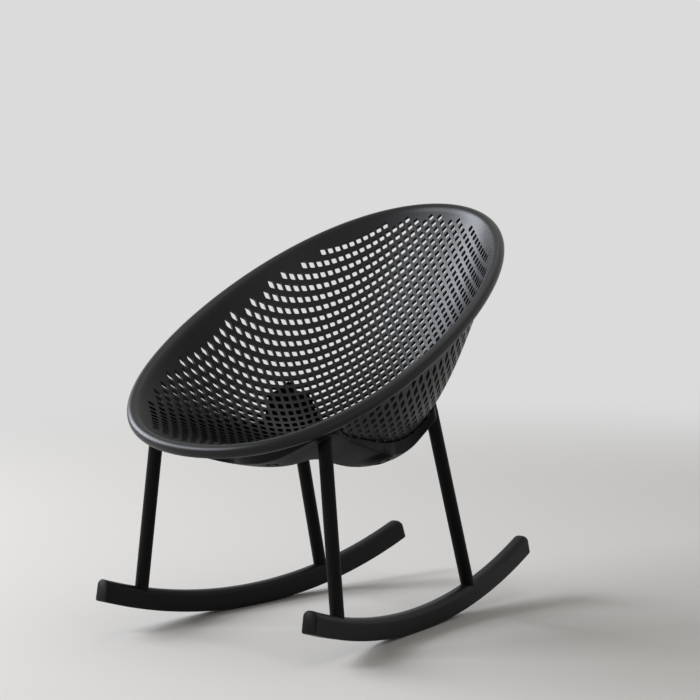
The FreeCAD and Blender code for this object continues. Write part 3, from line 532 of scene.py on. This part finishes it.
def set_fasteners(name, profile, seats, finish, replaced):
    """Stands one turned fastener on every seat and fits the group as one piece."""
    shape = bmesh.new()
    turned(shape, profile, Matrix.Identity(4), segments=36)
    one, places = loose_object(name + "_one", shape), seats_object(seats)
    mesh = grow(fasteners, name, Fastener=one, Seats=places, Finish=finish)
    for helper in (one, places):
        bpy.data.objects.remove(helper)
    fit_piece(name, mesh, finish, (replaced,))


def bolt_profile(head_radius, head_height, radius, length, socket):
    """Stations of a screw from its tip at a negative height up to the head's hexagon socket."""
    edge = BOLT_EDGE
    return [(-length, radius - 2 * edge, False), (-length + 2 * edge, radius, False), (0, radius, False),
            (0, head_radius - edge, False), (edge, head_radius, False),
            (head_height - edge, head_radius, False),
            (head_height - edge * 0.3, head_radius - edge * 0.3, False),
            (head_height, head_radius - edge, False),
            (head_height, socket + edge, True), (head_height - edge, socket, True),
            (head_height * 0.4, socket, True)]


def leg_seat(end, side):
    """Bottom of a leg's socket in the rocker."""
    up = leg_line(end, side)[1]
    return arc_on_leg(end, side, SOLE_RADIUS - ROCKER_HEIGHT) - up * SOCKET_DEPTH


steel = metal("zinc_steel", (0.62, 0.63, 0.65), 0.34, 900.0)
brass = metal("brass", (0.72, 0.52, 0.24), 0.36, 700.0)
black_steel = metal("black_steel", (0.018, 0.018, 0.019), 0.42, 900.0)
fasteners = fastener_tree()
corners = [(end, side) for side in SIDES.values() for end in LEGS]
bolt_seats = []
for end, side in corners:
    up = leg_line(end, side)[1]
    face = arc_on_leg(end, side, SOLE_RADIUS) + up * (RECESS_DEPTH - WASHER_THICKNESS)
    bolt_seats.append((face, -up))
    bolt_length = (leg_seat(end, side) - face).length + BOLT_GRIP
cap_bolt = bolt_profile(BOLT_HEAD_RADIUS, BOLT_HEAD_HEIGHT, BOLT_RADIUS, bolt_length, BOLT_SOCKET)
set_fasteners("rocker_cap_bolts", cap_bolt, bolt_seats, steel, "rocker_bolts")
dress_node("rocker_washers", steel)
dress_node("leg_inserts", brass)

# Legs: four straight tubes of black plastic. Each stands in a rocker's socket and slips over
# a spigot of the cradle, with a hairline seam under the seat.
JOINT_LEVEL = 0.344
LEG_BORE = 0.00925
LEG_SOLID_FOOT = 0.040
SEAM_EDGE = 0.0003
FOOT_EDGE = 0.001


def level_on_leg(end, side, level):
    """Point of a leg's axis at a height above the floor."""
    foot, up = leg_line(end, side)
    return foot + up * ((level - foot.z) / up.z)


leg_black = moulded_black("leg_black", (0.0038, 0.0038, 0.0041), 0.46, 0.08, 1100.0)
for side_name, side in SIDES.items():
    for end in LEGS:
        up = leg_line(end, side)[1]
        bottom = leg_seat(end, side)
        length = (level_on_leg(end, side, JOINT_LEVEL) - bottom).length
        stations = [(0, LEG_RADIUS - FOOT_EDGE), (FOOT_EDGE, LEG_RADIUS), (length - SEAM_EDGE, LEG_RADIUS),
                    (length, LEG_RADIUS - SEAM_EDGE), (length, LEG_BORE), (LEG_SOLID_FOOT, LEG_BORE)]
        shape = bmesh.new()
        turned(shape, [(height, radius, False) for height, radius in stations], on_line(bottom, up))
        bmesh.ops.recalc_face_normals(shape, faces=shape.faces)
        mesh = bpy.data.meshes.new("leg")
        shape.to_mesh(mesh)
        shape.free()
        name = "leg_%s_%s" % (end, side_name)
        fit_piece(name + "_tube", mesh, leg_black, (name,))

# Seat: one injection-moulded tub of black plastic. Its rim rolls over into a round bead, and
# rows of small square openings, set cornerwise, are cut about halfway between square to the
# wall and the mould's pull. The wall is thicker than the solid's and stands inwards of it.
RIM_HALF_WIDTH = 0.3081
RIM_HALF_LENGTH = 0.4466
RIM_EGG = 0.0194
RIM_SHOULDER = 0.0116
RIM_RADIUS = 0.0125
RIM_HEIGHT = 0.5815
RIM_FORWARD = 0.0265
RIM_TILT = math.radians(27.4)
BOWL_DEPTH = 0.2434
BOWL_CENTRE = -0.0382
LIP_RISE = 0.0045
LIP_INSET = 0.009
FULLNESS = {"back": 1.924, "side": 2.39, "front": 2.044}
EDGE_SLOPE = {"back": 1.342, "side": 3.276, "front": 0.855}
WALL = 0.0065
PULL_SHARE = 0.45
PITCH_ACROSS = 0.021375
PITCH_ALONG = 0.022413
FIRST_ROW = 0.00706
OPENING_REACH = 0.0070
OPENING_CORNER = 0.0019
NET_EDGE_INSET = 0.0168
NET_FIELD_INSET = 0.0245
AROUND = 288
NET_ROWS = 45
NET_COLUMNS = 37
REFINE_STEPS = (0.048, 0.024, 0.012)
WELD_REACH = 0.00002


def rim_point(turn, inset=0.0):
    """Point of the egg-shaped rim line in the rim's plane, or of one drawn in from it."""
    across = (RIM_HALF_WIDTH - inset) * math.cos(turn)
    slope = RIM_HALF_LENGTH * math.sin(turn) - RIM_EGG * (1 + math.cos(2 * turn))
    slope += RIM_SHOULDER * (math.sin(3 * turn) + math.sin(turn))
    return across, slope * (1 - inset / RIM_HALF_LENGTH)


def lip_directions():
    """Table of the lip's distance from the bowl's centre against its direction."""
    table = []
    for step in range(721):
        across, slope = rim_point(2 * math.pi * step / 720 - math.pi, LIP_INSET)
        table.append((math.atan2(slope - BOWL_CENTRE, across), math.hypot(across, slope - BOWL_CENTRE)))
    return sorted(table)


lip_table = lip_directions()


def lip_distance(angle):
    """Distance from the bowl's centre to the lip in one direction, read from the table."""
    low, high = 0, len(lip_table) - 1
    while high - low > 1:
        middle = (low + high) // 2
        if lip_table[middle][0] <= angle:
            low = middle
        else:
            high = middle
    a, b = lip_table[low], lip_table[high]
    share = min(1.0, max(0.0, (angle - a[0]) / (b[0] - a[0])))
    return a[1] + share * (b[1] - a[1])


def by_direction(angle, values):
    """Value for a direction, run smoothly from the front through the side to the back."""
    weight = math.sin(angle) ** 2
    end = values["back"] if angle > 0 else values["front"]
    return end * weight + values["side"] * (1 - weight)


def bowl_height(x, y):
    """Height of the wall's middle surface over the rim's plane."""
    angle = math.atan2(y - BOWL_CENTRE, abs(x))
    rho = math.hypot(x, y - BOWL_CENTRE) / lip_distance(angle)
    power = by_direction(angle, FULLNESS)
    slope = by_direction(angle, EDGE_SLOPE)
    drop = BOWL_DEPTH + LIP_RISE
    if rho > 1:
        return LIP_RISE + drop * slope * (rho - 1)
    return drop * rho ** power * (1 + (power - slope) * (1 - rho)) - BOWL_DEPTH


def bowl_gradient(x, y, step=0.001):
    return ((bowl_height(x + step, y) - bowl_height(x - step, y)) / (2 * step),
            (bowl_height(x, y + step) - bowl_height(x, y - step)) / (2 * step))


def wall_point(x, y, depth):
    """Point at a depth below the wall's middle surface, on the way that its openings take."""
    dx, dy = bowl_gradient(x, y)
    steep = math.sqrt(1 + dx * dx + dy * dy)
    square = (1 - PULL_SHARE) / steep
    reach = depth / (1 - PULL_SHARE + PULL_SHARE / steep)
    return x + dx * square * reach, y + dy * square * reach, bowl_height(x, y) - (square + PULL_SHARE) * reach


seat_place = Matrix.Translation((0, -RIM_FORWARD, RIM_HEIGHT)) @ Matrix.Rotation(RIM_TILT, 4, "X")


def outline_object(name, points, filled):
    """Flat closed outline as an object, either as a loop of edges or as one face."""
    mesh = bpy.data.meshes.new(name)
    count = len(points)
    edges = [(i, (i + 1) % count) for i in range(count)]
    corners_flat = [(x, y, 0) for x, y in points]
    mesh.from_pydata(corners_flat, [] if filled else edges, [list(range(count))] if filled else [])
    made = bpy.data.objects.new(name, mesh)
    bpy.context.collection.objects.link(made)
    return made


turns = [2 * math.pi * step / AROUND for step in range(AROUND)]
net_edge = outline_object("net_edge", [rim_point(turn, NET_EDGE_INSET) for turn in turns], False)
net_field = outline_object("net_field", [rim_point(turn, NET_FIELD_INSET) for turn in turns], True)


def openings_tree():
    """Flat sheet inside an outline, with a staggered lattice of rounded square openings."""
    tree = bpy.data.node_groups.new("seat_openings", "GeometryNodeTree")
    face = tree.interface
    for name, kind in (("Edge", "NodeSocketObject"), ("Field", "NodeSocketObject"),
                       ("Pitch Across", "NodeSocketFloat"), ("Pitch Along", "NodeSocketFloat"),
                       ("First Row", "NodeSocketFloat"), ("Opening Reach", "NodeSocketFloat"),
                       ("Corner Radius", "NodeSocketFloat"), ("Finish", "NodeSocketMaterial")):
        face.new_socket(name, in_out="INPUT", socket_type=kind)
    face.new_socket("Geometry", in_out="OUTPUT", socket_type="NodeSocketGeometry")
    link = tree.links.new
    given = node(tree, "NodeGroupInput", (-1400, 0))
    grids = []
    for shift in (0.0, 0.5):
        grid = node(tree, "GeometryNodeMeshGrid", (-1000, -300 * shift))
        grid.inputs["Vertices X"].default_value = NET_COLUMNS
        grid.inputs["Vertices Y"].default_value = NET_ROWS
        width = node(tree, "ShaderNodeMath", (-1200, -100), operation="MULTIPLY")
        width.inputs[1].default_value = NET_COLUMNS - 1
        length = node(tree, "ShaderNodeMath", (-1200, -200), operation="MULTIPLY")
        length.inputs[1].default_value = NET_ROWS - 1
        link(given.outputs["Pitch Across"], width.inputs[0])
        link(given.outputs["Pitch Along"], length.inputs[0])
        link(width.outputs[0], grid.inputs["Size X"])
        link(length.outputs[0], grid.inputs["Size Y"])
        x = node(tree, "ShaderNodeMath", (-1000, 200), operation="MULTIPLY")
        x.inputs[1].default_value = shift
        y = node(tree, "ShaderNodeMath", (-1000, 300), operation="MULTIPLY_ADD")
        y.inputs[1].default_value = shift
        link(given.outputs["Pitch Across"], x.inputs[0])
        link(given.outputs["Pitch Along"], y.inputs[0])
        link(given.outputs["First Row"], y.inputs[2])
        offset = node(tree, "ShaderNodeCombineXYZ", (-800, 200))
        link(x.outputs[0], offset.inputs["X"])
        link(y.outputs[0], offset.inputs["Y"])
        moved = node(tree, "GeometryNodeSetPosition", (-800, -300 * shift))
        link(grid.outputs["Mesh"], moved.inputs["Geometry"])
        link(offset.outputs["Vector"], moved.inputs["Offset"])
        grids.append(moved)
    lattice = node(tree, "GeometryNodeJoinGeometry", (-600, 0))
    for moved in grids:
        link(moved.outputs["Geometry"], lattice.inputs["Geometry"])
    field = node(tree, "GeometryNodeObjectInfo", (-600, -300))
    link(given.outputs["Field"], field.inputs["Object"])
    drop = node(tree, "GeometryNodeRaycast", (-400, -300))
    link(field.outputs["Geometry"], drop.inputs["Target Geometry"])
    above = node(tree, "GeometryNodeInputPosition", (-800, -500))
    raised = node(tree, "ShaderNodeVectorMath", (-600, -500), operation="ADD")
    raised.inputs[1].default_value = (0, 0, 1)
    link(above.outputs["Position"], raised.inputs[0])
    link(raised.outputs["Vector"], drop.inputs["Source Position"])
    drop.inputs["Ray Direction"].default_value = (0, 0, -1)
    drop.inputs["Ray Length"].default_value = 2.0
    outline = node(tree, "GeometryNodeCurvePrimitiveCircle", (-600, 400))
    outline.inputs["Resolution"].default_value = 4
    link(given.outputs["Opening Reach"], outline.inputs["Radius"])
    rounded = node(tree, "GeometryNodeFilletCurve", (-400, 400))
    rounded_mode = rounded.inputs.get("Mode")
    if rounded_mode is None:
        rounded.mode = "POLY"
    else:
        rounded_mode.default_value = "Poly"
    rounded.inputs["Count"].default_value = 2
    link(given.outputs["Corner Radius"], rounded.inputs["Radius"])
    link(outline.outputs["Curve"], rounded.inputs["Curve"])
    placed = node(tree, "GeometryNodeInstanceOnPoints", (-200, 0))
    link(lattice.outputs["Geometry"], placed.inputs["Points"])
    link(drop.outputs["Is Hit"], placed.inputs["Selection"])
    link(rounded.outputs["Curve"], placed.inputs["Instance"])
    real = node(tree, "GeometryNodeRealizeInstances", (0, 0))
    link(placed.outputs["Instances"], real.inputs["Geometry"])
    edge = node(tree, "GeometryNodeObjectInfo", (-200, -300))
    link(given.outputs["Edge"], edge.inputs["Object"])
    border = node(tree, "GeometryNodeMeshToCurve", (0, -300))
    link(edge.outputs["Geometry"], border.inputs["Mesh"])
    curves = node(tree, "GeometryNodeJoinGeometry", (200, 0))
    link(real.outputs["Geometry"], curves.inputs["Geometry"])
    link(border.outputs["Curve"], curves.inputs["Geometry"])
    filled = node(tree, "GeometryNodeFillCurve", (400, 0))
    link(curves.outputs["Geometry"], filled.inputs["Curve"])
    finish = node(tree, "GeometryNodeSetMaterial", (600, 0))
    link(filled.outputs["Mesh"], finish.inputs["Geometry"])
    link(given.outputs["Finish"], finish.inputs["Material"])
    result = node(tree, "NodeGroupOutput", (800, 0))
    link(finish.outputs["Geometry"], result.inputs["Geometry"])
    return tree


def refine(flat):
    """Cuts the sheet's long inner edges, so that it bends evenly over the bowl."""
    shape = bmesh.new()
    shape.from_mesh(flat)
    for reach in REFINE_STEPS:
        bmesh.ops.subdivide_edges(shape, cuts=1, edges=[
            edge for edge in shape.edges if not edge.is_boundary and edge.calc_length() > reach])
        bmesh.ops.triangulate(shape, faces=shape.faces)
        bmesh.ops.beautify_fill(shape, faces=shape.faces,
                                edges=[edge for edge in shape.edges if not edge.is_boundary])
    shape.to_mesh(flat)
    shape.free()


def add_net(shape, flat):
    """Drapes the flat sheet on both faces of the bowl and closes the openings' sides."""
    faces = [list(polygon.vertices) for polygon in flat.polygons]
    runs = set()
    for face in faces:
        runs.update(zip(face, face[1:] + face[:1]))
    up = flat.polygons[0].normal.z > 0
    inside, outside = [], []
    for vertex in flat.vertices:
        x, y = vertex.co.x, vertex.co.y
        inside.append(shape.verts.new(wall_point(x, y, -WALL / 2)))
        outside.append(shape.verts.new(wall_point(x, y, WALL / 2)))
    for face in faces:
        order = face if up else face[::-1]
        shape.faces.new([inside[i] for i in order])
        shape.faces.new([outside[i] for i in reversed(order)])
    border = {(round(x, 5), round(y, 5)) for x, y in (rim_point(turn, NET_EDGE_INSET) for turn in turns)}
    on_border = [(round(vertex.co.x, 5), round(vertex.co.y, 5)) in border for vertex in flat.vertices]
    for a, b in runs:
        if (b, a) not in runs and not (on_border[a] and on_border[b]):
            shape.faces.new([inside[b], inside[a], outside[a], outside[b]])


def hermite(start, start_pull, end, end_pull, steps):
    """Points strictly between two ends of a cubic, in the plane of one cross-section."""
    points = []
    for step in range(1, steps):
        s = step / steps
        points.append(tuple(
            (2 * s ** 3 - 3 * s ** 2 + 1) * a + (s ** 3 - 2 * s ** 2 + s) * p
            + (3 * s ** 2 - 2 * s ** 3) * b + (s ** 3 - s ** 2) * q
            for a, p, b, q in zip(start, start_pull, end, end_pull)))
    return points


BAND_ROWS = 2
ROLL_STEPS = 20
JOIN_INSET = 0.0150
LEAVE_LIMIT = math.radians(22.0)
LEAVE_SHARE = 0.9
BACK_IN = -math.radians(152.0)
INNER_BLEND_STEPS = 5
OUTER_BLEND_STEPS = 6
OUTER_BLEND_PULL = 1.1


def rim_section(turn):
    """Cross-section from the net's edge over the rolled rim and back under, as 3-D points."""
    step = 0.001
    ahead, behind = rim_point(turn + step), rim_point(turn - step)
    tangent = Vector((ahead[0] - behind[0], ahead[1] - behind[1], 0)).normalized()
    outward = Vector((tangent.y, -tangent.x, 0))
    middle = Vector((*rim_point(turn), 0))
    insets = [NET_EDGE_INSET + (JOIN_INSET - NET_EDGE_INSET) * row / BAND_ROWS
              for row in range(BAND_ROWS + 1)]
    places = [rim_point(turn, inset) for inset in insets]
    top = [Vector(wall_point(x, y, -WALL / 2)) for x, y in places]
    under = [Vector(wall_point(x, y, WALL / 2)) for x, y in places]

    def on_roll(angle):
        return middle + (outward * math.cos(angle) + Vector((0, 0, 1)) * math.sin(angle)) * RIM_RADIUS

    def along_roll(angle):
        return outward * math.sin(angle) - Vector((0, 0, 1)) * math.cos(angle)

    top_way = (top[-1] - top[-2]).normalized()
    under_way = (under[-2] - under[-1]).normalized()
    rise = math.atan2(top_way.z, top_way.dot(outward))
    leave = math.pi / 2 + min(rise * LEAVE_SHARE, LEAVE_LIMIT)
    first = on_roll(leave)
    reach = (first - top[-1]).length
    section = list(top)
    section += [Vector(point) for point in hermite(top[-1], top_way * reach, first,
                                                   along_roll(leave) * reach, INNER_BLEND_STEPS)]
    for number in range(ROLL_STEPS + 1):
        section.append(on_roll(leave + (BACK_IN - leave) * number / ROLL_STEPS))
    last = section[-1]
    reach = (under[-1] - last).length * OUTER_BLEND_PULL
    section += [Vector(point) for point in hermite(last, along_roll(BACK_IN) * reach, under[-1],
                                                   under_way * reach, OUTER_BLEND_STEPS)]
    section += list(reversed(under))
    return section


def add_rim(shape):
    """Closes the tub's edge with the ring of cross-sections of the rolled rim."""
    rings = [[shape.verts.new(point) for point in rim_section(turn)] for turn in turns]
    for number, ring in enumerate(rings):
        following = rings[(number + 1) % len(rings)]
        for k in range(len(ring) - 1):
            shape.faces.new([ring[k], ring[k + 1], following[k + 1], following[k]])


seat_black = moulded_black("seat_black", (0.0030, 0.0031, 0.0036), 0.35, 0.30, 900.0)
flat_net = grow(openings_tree(), "net", Edge=net_edge, Field=net_field, Pitch_Across=PITCH_ACROSS,
                Pitch_Along=PITCH_ALONG, First_Row=FIRST_ROW, Opening_Reach=OPENING_REACH,
                Corner_Radius=OPENING_CORNER, Finish=seat_black)
refine(flat_net)
shape = bmesh.new()
add_net(shape, flat_net)
add_rim(shape)
bmesh.ops.remove_doubles(shape, verts=shape.verts, dist=WELD_REACH)
bmesh.ops.recalc_face_normals(shape, faces=shape.faces)
bmesh.ops.transform(shape, matrix=seat_place, verts=shape.verts)
seat_mesh = bpy.data.meshes.new("seat_tub")
shape.to_mesh(seat_mesh)
shape.free()
fit_piece("seat_tub", seat_mesh, seat_black, ("seat_shell",), sharp=35)
for helper in (net_edge, net_field):
    bpy.data.objects.remove(helper)

# Cradle: one black moulding of channel rails round a large opening, with a post and a spigot
# at each corner. The posts run into the rails with soft fillets, as a moulding's corners do.
CRADLE_VOXEL = 0.0018
CRADLE_SMOOTHING = 7
CRADLE_SHARE = 0.34
POST_CLEARANCE = 0.009
POST_TOP_EDGE = 0.002
CRUMB_FACES = 100
POST_KEEP, POST_FREE = 0.015, 0.045
CORNER_REACH, CORNER_FACING, CORNER_SINK = 0.06, 0.4, 0.0004
SCREW_KEEP, SCREW_FREE = 0.013, 0.040
TRIM_SPAN = (-0.33, -0.25, -0.05, 0.01)
TRIM_FRONT, TRIM_REAR = -0.26, -0.10
TRIM_INSIDE, TRIM_OUTSIDE = 0.085, 0.14
DRAW_IN_FRONT, DRAW_IN_REAR = 0.020, 0.007
LIFT_FRONT, LIFT_REAR = 0.52, 0.20
TRIM_KEEP = 0.006
SEAT_SCREWS = ((0.165, -0.150), (0.072, -0.325), (0.072, -0.032))


def eased(value, low, high):
    """Smooth step from 0 at a low value to 1 at a high one."""
    share = min(1.0, max(0.0, (value - low) / (high - low)))
    return share * share * (3 - 2 * share)


def away_from_line(point, start, direction):
    """Shortest vector to a point from a line."""
    offset = point - start
    return offset - direction * offset.dot(direction)


def seat_coordinates(point):
    """Place across, along and below the middle surface of the seat's wall."""
    local = seat_place.inverted() @ point
    return local.x, local.y, bowl_height(local.x, local.y) - local.z


def screw_line(x, y):
    """Start and downward direction of a seat screw's axis, square to the wall."""
    dx, dy = bowl_gradient(x, y)
    return Vector((x, y, bowl_height(x, y))), Vector((dx, dy, -1)).normalized()


screw_lines = [screw_line(x, y) for x, y in SEAT_SCREWS]


def trimmed(point):
    """Draws the side rails inwards and up between posts and screws, and rounds the rear corners."""
    side = 1 if point.x > 0 else -1
    share = 1.0
    for end in LEGS:
        foot, up = leg_line(end, side)
        offset = away_from_line(point, foot, up)
        reach = offset.length
        share *= eased(reach, POST_KEEP, POST_FREE)
        if end == "rear" and LEG_RADIUS < reach < CORNER_REACH:
            facing = offset.dot(Vector((side, 1, 0))) / (reach * math.sqrt(2))
            sink = (reach - LEG_RADIUS + CORNER_SINK) * eased(facing, 0.0, CORNER_FACING)
            point = point - offset * (sink / reach)
    across, along, depth = seat_coordinates(point)
    local = seat_place.inverted() @ point
    local.x = abs(local.x)
    for start, direction in screw_lines:
        share *= eased(away_from_line(local, start, direction).length, SCREW_KEEP, SCREW_FREE)
    share *= eased(along, *TRIM_SPAN[:2]) * (1 - eased(along, *TRIM_SPAN[2:]))
    if share == 0:
        return point
    rear = min(1.0, max(0.0, (along - TRIM_FRONT) / (TRIM_REAR - TRIM_FRONT)))
    draw_in = DRAW_IN_FRONT + (DRAW_IN_REAR - DRAW_IN_FRONT) * rear
    across -= side * draw_in * share * eased(abs(across), TRIM_INSIDE, TRIM_OUTSIDE)
    if depth > TRIM_KEEP:
        lift = LIFT_FRONT + (LIFT_REAR - LIFT_FRONT) * rear
        depth = TRIM_KEEP + (depth - TRIM_KEEP) * (1 - lift * share)
    return seat_place @ Vector((across, along, bowl_height(across, along) - depth))


def post_length(end, side):
    """Way up a leg's line from the joint to just under the seat's wall."""
    up = leg_line(end, side)[1]
    length = 0.0
    while seat_coordinates(level_on_leg(end, side, JOINT_LEVEL) + up * length)[2] > POST_CLEARANCE:
        length += 0.0005
    return length


def drop_crumbs(shape, least):
    """Deletes the loose shells of fewer faces than the least that remeshing leaves behind."""
    unseen = set(shape.faces)
    crumbs = []
    while unseen:
        shell, edge = set(), [unseen.pop()]
        while edge:
            face = edge.pop()
            shell.add(face)
            for side in face.edges:
                for near in side.link_faces:
                    if near in unseen:
                        unseen.remove(near)
                        edge.append(near)
        if len(shell) < least:
            crumbs += list(shell)
    bmesh.ops.delete(shape, geom=crumbs, context="FACES")


def cradle_mesh():
    """Softened, trimmed copy of the cradle's solid, with its four posts turned round."""
    shape = bmesh.new()
    shape.from_mesh(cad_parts["base_frame"].data)
    bmesh.ops.remove_doubles(shape, verts=shape.verts, dist=MERGE_REACH)
    work = loose_object("cradle_blank", shape)
    remesh = work.modifiers.new("even", "REMESH")
    remesh.mode = "VOXEL"
    remesh.voxel_size = CRADLE_VOXEL
    soften = work.modifiers.new("soften", "SMOOTH")
    soften.factor = 0.5
    soften.iterations = CRADLE_SMOOTHING
    lighten = work.modifiers.new("lighten", "DECIMATE")
    lighten.ratio = CRADLE_SHARE
    mesh = solid_mesh(work)
    shape = bmesh.new()
    shape.from_mesh(mesh)
    drop_crumbs(shape, CRUMB_FACES)
    for vertex in shape.verts:
        vertex.co = trimmed(vertex.co)
    for end, side in corners:
        up = leg_line(end, side)[1]
        length = post_length(end, side)
        stations = [(0, LEG_RADIUS - SEAM_EDGE, False), (SEAM_EDGE, LEG_RADIUS, False),
                    (length - POST_TOP_EDGE, LEG_RADIUS, False), (length, LEG_RADIUS - POST_TOP_EDGE, False)]
        turned(shape, stations, on_line(level_on_leg(end, side, JOINT_LEVEL) + up * 0.0001, up))
    bmesh.ops.recalc_face_normals(shape, faces=shape.faces)
    shape.to_mesh(mesh)
    shape.free()
    return mesh


frame_black = moulded_black("frame_black", (0.0038, 0.0038, 0.0041), 0.46, 0.08, 1100.0)
fit_piece("cradle_moulding", cradle_mesh(), frame_black, ("base_frame",), sharp=60)

# Cross screws: one short blackened steel screw through the back of each leg into its spigot,
# just below the seam.
PIN_DROP = 0.022
PIN_SPOT = 0.0012
PIN_HEAD_RADIUS = 0.0042
PIN_HEAD_HEIGHT = 0.0024
PIN_RADIUS = 0.0021
PIN_LENGTH = 0.010
PIN_SOCKET = 0.0015
pin_seats = []
for end, side in corners:
    up = leg_line(end, side)[1]
    rear = (Vector((0, 1, 0)) - up * up.y).normalized()
    point = level_on_leg(end, side, JOINT_LEVEL) - up * PIN_DROP
    pin_seats.append((point + rear * (LEG_RADIUS - PIN_SPOT), rear))
cross_screw = bolt_profile(PIN_HEAD_RADIUS, PIN_HEAD_HEIGHT, PIN_RADIUS, PIN_LENGTH, PIN_SOCKET)
set_fasteners("cross_screw_heads", cross_screw, pin_seats, black_steel, "spigot_screws")

# Seat screws: six blackened steel screws with washers hold the cradle up against bosses
# moulded under the seat, and a brass insert in each boss takes the thread.
dress_node("seat_inserts", brass)
dress_node("seat_washers", black_steel)
dress_node("seat_screws", black_steel)
